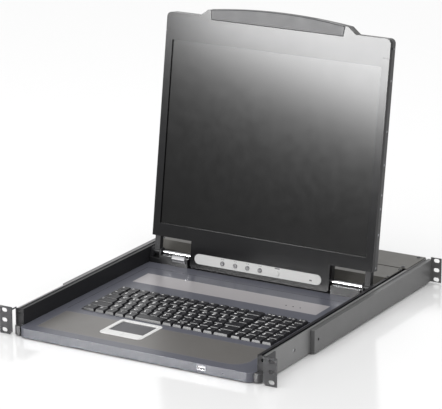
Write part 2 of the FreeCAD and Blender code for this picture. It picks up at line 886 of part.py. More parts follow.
def hinge_lugs():
    """Two lugs on the right end of the bridge, one each side of the lid's arm."""
    outer_x = drawer_inner_x - piece_gap
    spans = [
        (arm_inner_x - piece_gap - lug_inner_width, arm_inner_x - piece_gap),
        (arm_inner_x + arm_width + piece_gap, outer_x),
    ]
    lugs = []
    for x_range in spans:
        eye = rod(lug_radius, (x_range[0], hinge_y, hinge_z), (x_range[1], hinge_y, hinge_z))
        foot = profile_along_x(
            [
                (hinge_y - lug_foot_half, platform_low_z),
                (hinge_y + lug_foot_half, platform_low_z),
                (hinge_y + lug_radius, hinge_z),
                (hinge_y - lug_radius, hinge_z),
            ],
            x_range,
        )
        bore = rod(
            shaft_radius + shaft_clearance, (x_range[0] - 1, hinge_y, hinge_z), (x_range[1] + 1, hinge_y, hinge_z)
        )
        lugs.append(cut(fuse(eye, foot), bore))
    return Part.makeCompound(lugs)


def hinge_shaft():
    """Polished shaft from the lid's centre to the drawer's side."""
    outer_x = drawer_inner_x - piece_gap
    return rod(shaft_radius, (shaft_inner_x, hinge_y, hinge_z), (outer_x, hinge_y, hinge_z))


def release_lever():
    """Thumb slide on the left end of the bridge, with a stem through its slot."""
    rear_y = tray_rear_y
    front_y = rear_y - lever_reach
    x_range = (lever_left_x, lever_left_x + lever_width)
    tab = profile_along_x(
        [
            (rear_y, lever_bottom_z),
            (rear_y, lever_bottom_z + lever_height),
            (rear_y - lever_reach / 2, lever_bottom_z + lever_height),
            (front_y, lever_nose_z),
            (rear_y - lever_reach / 2, lever_nose_z - lever_reach / 2),
            (rear_y - lever_reach / 2, lever_bottom_z),
        ],
        x_range,
    )
    stem_x = (lever_left_x + lever_stem_inset, lever_left_x + lever_stem_inset + lever_stem_width)
    stem_z = (lever_bottom_z + piece_gap, lever_bottom_z + piece_gap + lever_stem_height)
    stem = slab(stem_x, (rear_y - 1, rear_y + platform_wall + 2 * lever_reach), stem_z)
    return fuse(tab, stem)


def drawer_rear_cover():
    """Sheet cover over the display electronics, with a sloped front and side overhangs."""
    front_y = platform_rear_y + platform_wall + piece_gap
    floor_z = drawer_bottom_z + sheet
    half = drawer_inner_x - piece_gap
    slope_z = rear_cover_top_z - rear_cover_slope
    outer = profile_along_x(
        [
            (front_y, floor_z),
            (front_y, slope_z),
            (front_y + rear_cover_slope, rear_cover_top_z),
            (drawer_rear_y, rear_cover_top_z),
            (drawer_rear_y, floor_z),
        ],
        (-half, half),
    )
    inner = profile_along_x(
        [
            (front_y + sheet, floor_z - 1),
            (front_y + sheet, slope_z),
            (front_y + rear_cover_slope, rear_cover_top_z - sheet * math.sqrt(2)),
            (drawer_rear_y - sheet, rear_cover_top_z - sheet),
            (drawer_rear_y - sheet, floor_z - 1),
        ],
        (-half + sheet, half - sheet),
    )
    wing = slab(
        (drawer_inner_x - sheet, drawer_inner_x + rear_cover_overhang),
        (front_y + rear_cover_slope, drawer_rear_y),
        (rear_cover_top_z - sheet, rear_cover_top_z),
    )
    return cut(fuse(cut(outer, inner), wing, mirrored(wing)), *drawer_screw_holes())


def drawer_screw_points():
    """Screws that hold the drawer's rear cover to the lips of its sides."""
    front_y = platform_rear_y + platform_wall + rear_cover_slope
    inset = 3 * cover_screw_head_radius
    return cover_screw_points((front_y + inset, drawer_rear_y - inset), drawer_inner_x + drawer_lip / 2)


def drawer_screw_holes():
    """Cutters for those screws through the cover and the lips."""
    radius = cover_screw_shank_radius + screw_hole_clearance
    low_z = chassis_top_z - 2 * sheet
    return [rod(radius, (x, y, low_z), (x, y, rear_cover_top_z + 1)) for x, y in drawer_screw_points()]


def display_driver_board():
    """Circuit board under the drawer's rear cover, with its larger components."""
    front_y = platform_rear_y + platform_wall + 2 * sheet + driver_board_front_gap
    rear_y = drawer_rear_y - 3 * sheet
    top_z = box_board_z + board_thickness
    board = slab((driver_board_left_x, driver_board_right_x), (front_y, rear_y), (box_board_z, top_z))
    processor = component((processor_x, front_y + processor_inset, top_z), processor_size, processor_height)
    memory = component((memory_x, front_y + memory_inset, top_z), memory_size, memory_height)
    inverter = component((inverter_x, front_y + inverter_inset, top_z), inverter_size, inverter_height)
    post_x = (
        driver_board_left_x + driver_post_side_inset,
        driver_board_right_x - board_post_size - driver_post_side_inset,
    )
    post_y = (front_y + board_post_front_inset, rear_y - driver_post_rear_inset)
    posts = board_posts(post_x, post_y, drawer_bottom_z + sheet)
    return fuse(board, processor, memory, inverter, *posts)


def component(place, size, height):
    """A square component standing on a circuit board."""
    x, y, z = place
    return slab((x, x + size), (y, y + size), (z, z + height))


def board_posts(x_values, y_values, floor_z):
    """Four square posts between a floor and a circuit board."""
    return [
        slab((x, x + board_post_size), (y, y + board_post_size), (floor_z, box_board_z))
        for x in x_values for y in y_values
    ]


# ---------------------------------------------------------------- display lid


def on_lid(shape):
    """Moves a piece drawn upright round the hinge axis to its place on the leaning lid."""
    placed = shape.copy()
    placed.translate(Vector(0, hinge_y, hinge_z))
    placed.rotate(Vector(0, hinge_y, hinge_z), Vector(1, 0, 0), -lid_lean_deg)
    return placed


def line(start, end):
    """A straight edge in the lid's front plane, between (x, u) points."""
    return Part.makeLine(Vector(start[0], 0, start[1]), Vector(end[0], 0, end[1]))


def arc(start, middle, end):
    """An arc in the lid's front plane through three (x, u) points."""
    points = [Vector(x, 0, u) for x, u in (start, middle, end)]
    return Part.Arc(*points).toShape()


def corner_arc(start, end, centre, radius):
    """A quarter-round corner between two edges."""
    middle_x = (start[0] + end[0]) / 2 - centre[0]
    middle_u = (start[1] + end[1]) / 2 - centre[1]
    scale = radius / math.hypot(middle_x, middle_u)
    return arc(start, (centre[0] + middle_x * scale, centre[1] + middle_u * scale), end)


def lid_outline(inset):
    """Front outline of the lid as a face, moved inwards by the inset."""
    half = lid_half_width - inset
    centre = lid_centre_half_width - inset
    low = lid_centre_bottom_u + inset
    bottom = lid_bottom_u + inset
    top = lid_top_u - inset
    corner = lid_corner_radius - inset
    round_low = lid_centre_radius - inset
    crown = lid_crown_x - inset
    crown_u = lid_crown_side_u - inset
    crown_top = lid_crown_top_u - inset
    shoulder = lid_shoulder_x - inset / 2
    right = [
        line((0, low), (centre - round_low, low)),
        corner_arc((centre - round_low, low), (centre, low + round_low), (centre - round_low, low + round_low), round_low),
        line((centre, low + round_low), (centre, bottom)),
        line((centre, bottom), (half, bottom)),
        line((half, bottom), (half, top - corner)),
        corner_arc((half, top - corner), (half - corner, top), (half - corner, top - corner), corner),
        line((half - corner, top), (shoulder, top)),
        line((shoulder, top), (crown, crown_u)),
    ]
    crown_arc = arc((crown, crown_u), (0, crown_top), (-crown, crown_u))
    left = [mirrored(edge) for edge in right]
    wire = Part.Wire(Part.__sortEdges__(right + [crown_arc] + left))
    return Part.Face(wire)


def lid_block(inset, y_range):
    """The lid's outline as a solid between two depths."""
    face = lid_outline(inset)
    face.translate(Vector(0, y_range[0], 0))
    return face.extrude(Vector(0, y_range[1] - y_range[0], 0))


def grip_block(gap, y_range):
    """The handle grip's arched block, or with a gap the cutter for its seat."""
    half = grip_half_width + gap
    flared = half + grip_flare
    low = grip_bottom_u - gap
    side_u = lid_crown_side_u + gap
    face = Part.Face(Part.Wire(Part.__sortEdges__([
        line((-half, low), (half, low)),
        line((half, low), (flared, side_u)),
        arc((flared, side_u), (0, lid_crown_top_u + gap), (-flared, side_u)),
        line((-flared, side_u), (-half, low)),
    ])))
    face.translate(Vector(0, y_range[0], 0))
    return face.extrude(Vector(0, y_range[1] - y_range[0], 0))


def pill_block(gap, y_range):
    """The control strip's rounded block, or with a gap the cutter for its seat."""
    half_length = pill_length / 2 + gap
    half_width = pill_width / 2 + gap
    return rounded_slab(
        (pill_centre_x - half_length, pill_centre_x + half_length), y_range, (-half_width, half_width),
        half_width - 0.05, "y",
    )


def lid_openings():
    """Cutters that the lid's two shells share: shaft, arm and catch clearances and side screw holes."""
    shaft = rod(shaft_radius + piece_gap, (shaft_inner_x - 1, 0, 0), (lid_centre_half_width + 1, 0, 0))
    arm_half = arm_thickness / 2
    arm = slab(
        (arm_inner_x - piece_gap, arm_inner_x + arm_width + piece_gap),
        (-arm_half, arm_half),
        (lid_bottom_u - 1, lid_bottom_u + lid_wall + 1),
    )
    pin = rod(catch_pin_radius + piece_gap, (lid_half_width - 2 * lid_wall, 0, catch_u), (lid_half_width + 1, 0, catch_u))
    screws = [
        rod(
            lid_screw_radius + screw_hole_clearance,
            (lid_half_width - lid_screw_length, lid_screw_y, u),
            (lid_half_width + 1, lid_screw_y, u),
        )
        for u in lid_screw_u
    ]
    right = [shaft, arm, pin] + screws
    return right + [mirrored(shape) for shape in right]


def screen_cutter():
    """Opening in the bezel for the visible screen."""
    return slab(
        (-screen_half_width, screen_half_width),
        (-lid_thickness, lid_thickness),
        (screen_bottom_u, screen_bottom_u + screen_height),
    )


def lid_front_bezel():
    """Front shell of the lid, with the screen opening, the grip's seat and the control strip's seat."""
    outer = lid_block(0, (-lid_half_thickness, lid_split_y))
    hollow = lid_block(lid_wall, (-lid_half_thickness + lid_skin, lid_split_y + 1))
    grip = grip_block(grip_gap, (-lid_half_thickness - 1, lid_split_y + 1))
    pill = pill_block(grip_gap, (-lid_half_thickness - 1, -lid_half_thickness + lid_skin + 1))
    slit = slab(
        (lid_half_width - catch_slit_length, lid_half_width + 1),
        (-lid_half_thickness - 1, -lid_half_thickness + lid_skin / 2),
        (catch_slit_u, catch_slit_u + catch_slit_width),
    )
    return cut(outer, hollow, screen_cutter(), grip, pill, slit, mirrored(slit), *lid_openings())


def lid_rear_cover():
    """Rear shell of the lid."""
    outer = lid_block(0, (lid_split_y, lid_half_thickness))
    hollow = lid_block(lid_wall, (lid_split_y - 1, lid_half_thickness - lid_wall))
    return cut(outer, hollow, *lid_openings())


def lcd_panel():
    """Display panel with its backlight, behind the bezel's opening."""
    front_y = -lid_half_thickness + lid_skin
    half = screen_half_width + panel_margin
    return slab(
        (-half, half),
        (front_y, front_y + panel_thickness),
        (screen_bottom_u - panel_margin, screen_bottom_u + screen_height + panel_margin),
    )


def lid_handle_grip():
    """Grip that fills the arched seat at the lid's top."""
    return grip_block(0, (-lid_half_thickness - grip_proud, lid_split_y))


def osd_strip():
    """Light control strip with holes for its five buttons."""
    front_y = -lid_half_thickness - pill_proud
    body = pill_block(0, (front_y, -lid_half_thickness + lid_skin))
    holes = [
        rod(osd_button_radius + osd_button_clearance, (x, front_y - 1, osd_button_u), (x, 0, osd_button_u))
        for x in osd_button_x + (osd_power_x,)
    ]
    return cut(body, *holes)


def osd_button(x):
    """Round push button with a retaining flange behind the strip."""
    front_y = -lid_half_thickness - pill_proud - osd_button_rise
    flange_y = -lid_half_thickness + lid_skin + piece_gap
    stem = rod(osd_button_radius, (x, front_y, osd_button_u), (x, flange_y + 0.1, osd_button_u))
    rim = [edge for edge in stem.Edges if edge.Closed and edge.CenterOfMass.y < front_y + 0.1]
    stem = stem.makeFillet(osd_button_rise / 3, rim)
    flange_end = (x, flange_y + osd_button_flange, osd_button_u)
    flange = rod(osd_button_radius + 2 * osd_button_clearance + osd_flange_overlap, (x, flange_y, osd_button_u), flange_end)
    return stem.fuse(flange)


def lid_side_screw(u):
    """One countersunk screw in the lid's side."""
    return rod(
        lid_screw_radius,
        (lid_half_width - lid_screw_length, lid_screw_y, u),
        (lid_half_width + lid_screw_proud, lid_screw_y, u),
    )


def hinge_arm():
    """Arm that joins the lid to the shaft."""
    arm_half = arm_thickness / 2 - 0.1
    x_range = (arm_inner_x, arm_inner_x + arm_width)
    bar = slab(x_range, (-arm_half, arm_half), (0, arm_top_u))
    eye = rod(arm_eye_radius, (x_range[0], 0, 0), (x_range[1], 0, 0))
    bore = rod(shaft_radius + shaft_clearance, (x_range[0] - 1, 0, 0), (x_range[1] + 1, 0, 0))
    return cut(fuse(bar, eye), bore)


def lid_catch():
    """Sprung catch bolt inside the lid's top corner, with its pin out of the side."""
    outer_x = lid_half_width + catch_pin_reach
    block_x = (lid_half_width - lid_wall - catch_pin_reach - catch_block, lid_half_width - lid_wall - piece_gap)
    half = catch_block / 2
    block = slab(
        block_x, (-half, half), (catch_u - catch_block_height / 2, catch_u + catch_block_height / 2)
    )
    pin = rod(catch_pin_radius, (block_x[0] + 1, 0, catch_u), (outer_x, 0, catch_u))
    return fuse(block, pin)


# ---------------------------------------------------------------- rear brackets


def rear_bracket():
    """Lipped channel that slides on its guide, with a slotted ear at the rear."""
    inner_x = chassis_half_width + bracket_gap
    y_range = (bracket_front_y, bracket_rear_y)
    web = slab((bracket_outer_x - bracket_sheet, bracket_outer_x), y_range, (bracket_bottom_z, bracket_top_z))
    pieces = [web]
    for edge_z, direction in ((bracket_bottom_z, 1), (bracket_top_z, -1)):
        flange_z = sorted((edge_z, edge_z + direction * bracket_sheet))
        pieces.append(slab((inner_x, bracket_outer_x), y_range, flange_z))
        lip_z = sorted((edge_z, edge_z + direction * (bracket_sheet + bracket_lip)))
        pieces.append(slab((inner_x, inner_x + bracket_sheet), y_range, lip_z))
    pieces.append(slab(
        (inner_x, bracket_outer_x), (bracket_front_y, bracket_front_y + bracket_sheet), (bracket_bottom_z, bracket_top_z)
    ))
    ear_y = (bracket_rear_y - bracket_sheet, bracket_rear_y)
    ear_z = (origin_height - bracket_ear_height / 2, origin_height + bracket_ear_height / 2)
    ear = slab((bracket_outer_x - bracket_sheet, bracket_ear_edge_x), ear_y, ear_z)
    slots = [
        flat_slot((rack_hole_span / 2, height), rack_slot_length, rack_slot_width, (ear_y[0] - 1, ear_y[1] + 1))
        for height in rack_hole_heights
    ]
    hole_y = bracket_front_y + bracket_hole_inset
    hole = rod(
        bracket_hole_radius,
        (bracket_outer_x - 2 * bracket_sheet, hole_y, slide_middle_z),
        (bracket_outer_x + 1, hole_y, slide_middle_z),
    )
    return cut(fuse(*pieces, ear), hole, *slots)


def bracket_guide():
    """T-shaped guide on the chassis side that holds the bracket's lips."""
    middle_z = (bracket_bottom_z + bracket_top_z) / 2
    y_range = (guide_front_y, guide_rear_y)
    lip_x = chassis_half_width + bracket_gap + bracket_sheet
    neck = slab(
        (chassis_half_width, lip_x + guide_clearance), y_range, (middle_z - guide_neck_half, middle_z + guide_neck_half)
    )
    head = slab(
        (lip_x + guide_clearance, bracket_outer_x - bracket_sheet - guide_clearance),
        y_range,
        (middle_z - guide_head_half, middle_z + guide_head_half),
    )
    return fuse(neck, head)


# ---------------------------------------------------------------- switch box

box_rear_y = chassis_rear_y
port_x = [port_first_x + index * port_pitch for index in range(port_count)]


def switch_box_pan():
    """Floor, front wall and rear wall of the switch box, with the rear openings."""
    floor = slab((-wall_inner_x, wall_inner_x), (box_front_y, box_rear_y), (0, sheet))
    walls_z = (0, box_top_z - sheet)
    front = slab((-wall_inner_x, wall_inner_x), (box_front_y, box_front_y + sheet), walls_z)
    rear = slab((-wall_inner_x, wall_inner_x), (box_rear_y - sheet, box_rear_y), walls_z)
    through = (box_rear_y - 2 * sheet, box_rear_y + 1)
    cutters = [
        slab(
            (x - port_shell_width / 2 - piece_gap, x + port_shell_width / 2 + piece_gap),
            through,
            (port_z - port_shell_height / 2 - piece_gap, port_z + port_shell_height / 2 + piece_gap),
        )
        for x in port_x
    ]
    for x, z, width, height in (
        (inlet_x, inlet_z, inlet_width, inlet_height),
        (rocker_x, rocker_z, rocker_width + 2 * rocker_gap, rocker_height + 2 * rocker_gap),
    ):
        cutters.append(slab((x - width / 2, x + width / 2), through, (z - height / 2, z + height / 2)))
    flange_z = (box_top_z - 2 * sheet, box_top_z - sheet)
    front_flange = slab((-wall_inner_x, wall_inner_x), (box_front_y, box_front_y + box_flange), flange_z)
    rear_flange = slab((-wall_inner_x, wall_inner_x), (box_rear_y - box_flange, box_rear_y), flange_z)
    return cut(fuse(floor, front, rear, front_flange, rear_flange), *cutters, *box_screw_holes())


def switch_box_cover():
    """Top cover of the switch box."""
    plate = slab((-wall_inner_x, wall_inner_x), (box_front_y, box_rear_y), (box_top_z - sheet, box_top_z))
    return cut(plate, *box_screw_holes())


def box_screw_holes():
    """Cutters for the cover's screws through the cover and the pan's flanges."""
    radius = screw_shank_radius + screw_hole_clearance
    low_z = box_top_z - 3 * sheet
    return [rod(radius, (x, y, low_z), (x, y, box_top_z + 1)) for x, y in box_screw_points()]


def box_screw_points():
    """Screws in the switch box cover."""
    inset = box_flange / 2
    return cover_screw_points((box_front_y + inset, box_rear_y - inset), wall_inner_x - 3 * screw_head_radius)


def port_connector(x):
    """One computer port: flange plate inside the wall, metal shell outside and a body behind."""
    inner_y = box_rear_y - sheet
    plate = slab(
        (x - port_plate_width / 2, x + port_plate_width / 2),
        (inner_y - port_plate_thickness, inner_y),
        (port_z - port_plate_height / 2, port_z + port_plate_height / 2),
    )
    shell_x = (x - port_shell_width / 2, x + port_shell_width / 2)
    shell_z = (port_z - port_shell_height / 2, port_z + port_shell_height / 2)
    shell_y = (inner_y - port_plate_thickness, box_rear_y + port_shell_reach)
    shell = rounded_slab(shell_x, shell_y, shell_z, port_shell_radius, "y")
    body = slab(shell_x, (inner_y - port_body_depth, inner_y), (box_board_z + board_thickness, shell_z[1]))
    return fuse(plate, shell, body)


def kvm_main_board():
    """Switching board, standing on posts, with its main components."""
    front_y = box_front_y + 4 * sheet
    rear_y = box_rear_y - sheet - port_plate_thickness - piece_gap
    top_z = box_board_z + board_thickness
    board = slab((box_board_left_x, box_board_right_x), (front_y, rear_y), (box_board_z, top_z))
    post_x = (
        box_board_left_x + board_post_side_inset,
        box_board_right_x - board_post_size - board_post_side_inset,
    )
    post_y = (front_y + board_post_front_inset, rear_y - board_post_rear_inset)
    chips = [
        component(
            (switch_chip_first_x + index * switch_chip_pitch, front_y + switch_chip_inset, top_z),
            switch_chip_size,
            switch_chip_height,
        )
        for index in range(switch_chip_count)
    ]
    return fuse(board, *board_posts(post_x, post_y, sheet), *chips)


def power_supply_unit():
    """Closed power supply can beside the board."""
    front_y = box_front_y + 3 * sheet
    return rounded_slab(
        (supply_left_x, supply_right_x),
        (front_y, front_y + supply_depth),
        (sheet, sheet + supply_height),
        supply_radius,
        "y",
    )


def mains_inlet():
    """Mains inlet with a rim, a cavity and three blades."""
    rim_x = (inlet_x - inlet_width / 2 - inlet_rim, inlet_x + inlet_width / 2 + inlet_rim)
    rim_z = (inlet_z - inlet_height / 2 - inlet_rim, inlet_z + inlet_height / 2 + inlet_rim)
    rim = rounded_slab(rim_x, (box_rear_y, box_rear_y + inlet_rim), rim_z, 2, "y")
    half_x = inlet_width / 2 - piece_gap
    half_z = inlet_height / 2 - piece_gap
    front_y = box_rear_y + inlet_rim - inlet_depth
    body = slab((inlet_x - half_x, inlet_x + half_x), (front_y, box_rear_y + 1), (inlet_z - half_z, inlet_z + half_z))
    mouth_y = box_rear_y + inlet_rim + 1
    floor_y = box_rear_y + inlet_rim - inlet_cavity_depth
    cavity = slab(
        (inlet_x - inlet_cavity_width / 2, inlet_x + inlet_cavity_width / 2),
        (floor_y, mouth_y),
        (inlet_z - inlet_cavity_height / 2, inlet_z + inlet_cavity_height / 2),
    )
    pin_x = [inlet_x + step * inlet_pin_pitch for step in (-1, 0, 1)]
    blades = [
        slab(
            (x - inlet_pin_height / 2, x + inlet_pin_height / 2),
            (floor_y - 1, mouth_y - inlet_pin_setback),
            (inlet_z + 1, inlet_z + 1 + inlet_pin_width),
        )
        for x in pin_x
    ]
    return fuse(cut(fuse(rim, body), cavity), *blades, rocker_frame())


def rocker_frame():
    """Bracket on the inlet's side that carries the rocker's pivots."""
    pivot_y = box_rear_y - rocker_depth / 2
    wall_rear_y = box_rear_y - sheet
    low_z = rocker_z - rocker_height / 4
    high_z = rocker_z + rocker_height / 4
    inner = rocker_width / 2 + rocker_frame_gap
    outer = inner + rocker_frame_wall
    front_y = pivot_y - rocker_depth / 2 - 2 * rocker_frame_wall
    pieces = [
        slab((rocker_x + side[0], rocker_x + side[1]), (front_y, wall_rear_y), (low_z, high_z))
        for side in ((-outer, -inner), (inner, outer))
    ]
    body_edge = inlet_x + inlet_width / 2 - piece_gap
    bridge = slab((body_edge, rocker_x + outer), (front_y, front_y + rocker_frame_wall), (low_z, high_z))
    bore = rod(
        rocker_pivot_radius + rocker_pivot_clearance,
        (rocker_x - outer - 1, pivot_y, rocker_z),
        (rocker_x + outer + 1, pivot_y, rocker_z),
    )
    return cut(fuse(*pieces, bridge), bore)


def power_rocker():
    """Rocker switch cap, resting on its lower end."""
    half_x = rocker_width / 2
    half_z = rocker_height / 2
    front_y = box_rear_y - rocker_depth
    rocker = profile_along_x(
        [
            (front_y, -half_z / 2),
            (front_y, half_z / 2),
            (box_rear_y + 1, half_z),
            (box_rear_y - 0.5, 0),
            (box_rear_y + 1, -half_z),
        ],
        (rocker_x - half_x, rocker_x + half_x),
    )
    pivot_y = box_rear_y - rocker_depth / 2
    reach = half_x + rocker_pivot_reach
    pivot = rod(rocker_pivot_radius, (rocker_x - reach, pivot_y, 0), (rocker_x + reach, pivot_y, 0))
    rocker = fuse(rocker, pivot)
    rocker.rotate(Vector(0, pivot_y, 0), Vector(1, 0, 0), rocker_tilt_deg)
    rocker.translate(Vector(0, 0, rocker_z))
    return rocker


# ---------------------------------------------------------------- build every node


def paired_nodes():
    """Pieces with a twin on the other side, each in a node of its own."""
    return {
        "chassis_side": chassis_side(),
        "front_ear": front_ear(),
        "drawer_side": drawer_side(),
        "lid_catch": on_lid(lid_catch()),
        "rear_bracket": rear_bracket(),
    }


def chassis_screws():
    """Ear screws on both sides and the switch box cover's screws."""
    ear_screws = [screw(outer, (1, 0, 0)) for _, outer in ear_screw_axes()]
    cover_screws = [screw((x, y, box_top_z), (0, 0, 1)) for x, y in box_screw_points()]
    return Part.makeCompound(ear_screws + [mirrored(piece) for piece in ear_screws] + cover_screws)


def drawer_screws():
    """Screws in the drawer's rear cover."""
    radii = (cover_screw_head_radius, cover_screw_shank_radius)
    return Part.makeCompound([screw((x, y, rear_cover_top_z), (0, 0, 1), *radii) for x, y in drawer_screw_points()])


def lid_screws():
    """Side screws of the lid."""
    right = [lid_side_screw(u) for u in lid_screw_u]
    return Part.makeCompound(right + [mirrored(piece) for piece in right])


def single_nodes():
    """Every other node."""
    nodes = {
        "switch_box_pan": switch_box_pan(),
        "switch_box_cover": switch_box_cover(),
        "slide_outer_members": both_sides(slide_outer()),
        "slide_middle_members": both_sides(slide_middle()),
        "slide_inner_members": both_sides(slide_inner()),
        "outer_ball_runs": both_sides(outer_ball_run()),
        "inner_ball_runs": both_sides(inner_ball_run()),
        "bracket_guides": both_sides(bracket_guide()),
        "kvm_main_board": kvm_main_board(),
        "power_supply_unit": power_supply_unit(),
        "mains_inlet": mains_inlet(),
        "power_rocker": power_rocker(),
        "port_connectors": Part.makeCompound([port_connector(x) for x in port_x]),
        "chassis_screws": chassis_screws(),
        "tray_bottom_plate": tray_bottom_plate(),
        "tray_top_cover": tray_top_cover(),
        "rail_end_caps": both_sides(rail_end_cap()),
        "palm_rest_panel": palm_rest_panel(),
        "indicator_panel": strip_inlay(),
        "keyboard_base_plate": keyboard_base_plate(),
        "touchpad_frame": touchpad_frame(),
        "touchpad_surface": touchpad_surface(),
        "touchpad_button_left": touchpad_button(-1),
        "touchpad_button_right": touchpad_button(1),
        "front_usb_port": front_usb_port(),
        "hinge_platform": hinge_platform(),
        "hinge_lugs": both_sides(hinge_lugs()),
        "hinge_shafts": both_sides(hinge_shaft()),
        "release_lever": release_lever(),
        "drawer_rear_cover": drawer_rear_cover(),
        "display_driver_board": display_driver_board(),
        "drawer_screws": drawer_screws(),
        "lid_front_bezel": on_lid(lid_front_bezel()),
        "lid_rear_cover": on_lid(lid_rear_cover()),
        "lcd_panel": on_lid(lcd_panel()),
        "lid_handle_grip": on_lid(lid_handle_grip()),
        "osd_strip": on_lid(osd_strip()),
        "osd_power_button": on_lid(osd_button(osd_power_x)),
        "lid_screws": on_lid(lid_screws()),
        "hinge_arms": on_lid(both_sides(hinge_arm())),
    }
    for number, x in enumerate(osd_button_x, start=1):
        nodes[f"osd_button_{number}"] = on_lid(osd_button(x))
    for index, (name, units) in enumerate(key_rows().items()):
        nodes[name] = key_row(index, *units)
    return nodes


def main():
    """Builds every piece and writes its node."""
    os.makedirs("parts", exist_ok=True)
    for name, shape in paired_nodes().items():
        save(f"{name}_right", shape)
        save(f"{name}_left", mirrored(shape))
    for name, shape in single_nodes().items():
        save(name, shape)


main()
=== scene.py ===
import json
import logging
import math
from collections.abc import Callable, Iterable, Sequence
from dataclasses import dataclass, field
from enum import Enum

import bmesh
import bpy
from mathutils import Matrix, Vector


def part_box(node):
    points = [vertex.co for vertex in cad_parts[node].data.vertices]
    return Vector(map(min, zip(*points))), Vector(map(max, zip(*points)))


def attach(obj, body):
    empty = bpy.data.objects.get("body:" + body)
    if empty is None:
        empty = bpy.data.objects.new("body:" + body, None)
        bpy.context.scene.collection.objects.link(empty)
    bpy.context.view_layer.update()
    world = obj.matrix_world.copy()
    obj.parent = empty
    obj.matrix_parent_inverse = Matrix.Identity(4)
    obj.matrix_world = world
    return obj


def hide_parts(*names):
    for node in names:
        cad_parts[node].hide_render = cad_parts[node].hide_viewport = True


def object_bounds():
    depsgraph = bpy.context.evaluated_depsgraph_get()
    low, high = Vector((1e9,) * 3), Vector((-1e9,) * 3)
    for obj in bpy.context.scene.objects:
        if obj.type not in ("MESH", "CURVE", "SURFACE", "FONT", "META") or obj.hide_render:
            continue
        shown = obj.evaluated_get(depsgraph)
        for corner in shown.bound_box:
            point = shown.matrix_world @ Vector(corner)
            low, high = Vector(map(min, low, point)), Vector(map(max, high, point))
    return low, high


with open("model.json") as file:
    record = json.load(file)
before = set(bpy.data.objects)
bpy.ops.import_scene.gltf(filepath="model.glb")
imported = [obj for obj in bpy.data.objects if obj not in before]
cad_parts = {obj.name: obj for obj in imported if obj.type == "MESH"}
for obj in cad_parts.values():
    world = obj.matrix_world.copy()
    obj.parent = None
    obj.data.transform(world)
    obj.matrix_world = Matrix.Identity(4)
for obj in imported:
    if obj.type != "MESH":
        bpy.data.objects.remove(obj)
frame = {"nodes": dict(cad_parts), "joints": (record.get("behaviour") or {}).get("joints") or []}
CAD_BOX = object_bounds()

LOG = logging.getLogger("console_drawer")
MM = 0.001
MERGE_DISTANCE = 1e-6
LID_LEAN = -8.0
LETTER_SCALE = 1.4
LETTER_WEIGHT = 0.055
Colour = tuple[float, float, float]
Box = tuple[Vector, Vector]
Place = tuple[Vector, tuple[float, float, float]]


def stand(name: str, data: bpy.types.ID) -> bpy.types.Object:
    """Adds an object that holds the data to the scene."""
    made = bpy.data.objects.new(name, data)
    bpy.context.scene.collection.objects.link(made)
    return made


# ------------------------------------------------------------------ finishes


class Grain(Enum):
    """Surface texture of a finish."""

    SMOOTH = "smooth"
    MOULDED = "moulded"
    POWDER = "powder"
    BRUSHED = "brushed"
    DOTTED = "dotted"
    PRINTED = "printed"


class NodeTree:
    """Short calls for adding and joining nodes in a material's or a modifier's tree."""

    def __init__(self, tree: bpy.types.NodeTree) -> None:
        """Wraps a tree.

        Args:
            tree: The node tree to add to.
        """
        self.tree = tree

    def add(self, kind: str, inputs: dict | None = None, **settings: object) -> bpy.types.Node:
        """Adds one node.

        Args:
            kind: The node's type name.
            inputs: Values or output sockets by input name or number.
            settings: The node's own properties.

        Returns:
            The new node.
        """
        node = self.tree.nodes.new(kind)
        for key, value in settings.items():
            setattr(node, key, value)
        for key, value in (inputs or {}).items():
            if isinstance(value, bpy.types.NodeSocket):
                self.tree.links.new(value, node.inputs[key])
            else:
                node.inputs[key].default_value = value
        return node

    def maths(self, operation: str, first: object, second: object = 0.0) -> bpy.types.NodeSocket:
        """Adds a maths node.

        Args:
            operation: The operation's name.
            first: The first value or socket.
            second: The second value or socket.

        Returns:
            The result's socket.
        """
        return self.add("ShaderNodeMath", {0: first, 1: second}, operation=operation).outputs[0]

    def vector(self, operation: str, *values: object) -> bpy.types.Node:
        """Adds a vector maths node."""
        return self.add("ShaderNodeVectorMath", dict(enumerate(values)), operation=operation)

    def mixed(self, share: bpy.types.NodeSocket, first: object, second: object) -> bpy.types.NodeSocket:
        """Adds a colour mix: the first colour where the share is zero, the second where it is one."""
        return self.add("ShaderNodeMix", {0: share, 6: first, 7: second}, data_type="RGBA").outputs[2]

    def noise(self, place: bpy.types.NodeSocket, scale: float, detail: float) -> bpy.types.NodeSocket:
        """Adds a noise texture."""
        inputs = {"Vector": place, "Scale": scale, "Detail": detail}
        return self.add("ShaderNodeTexNoise", inputs).outputs["Fac"]


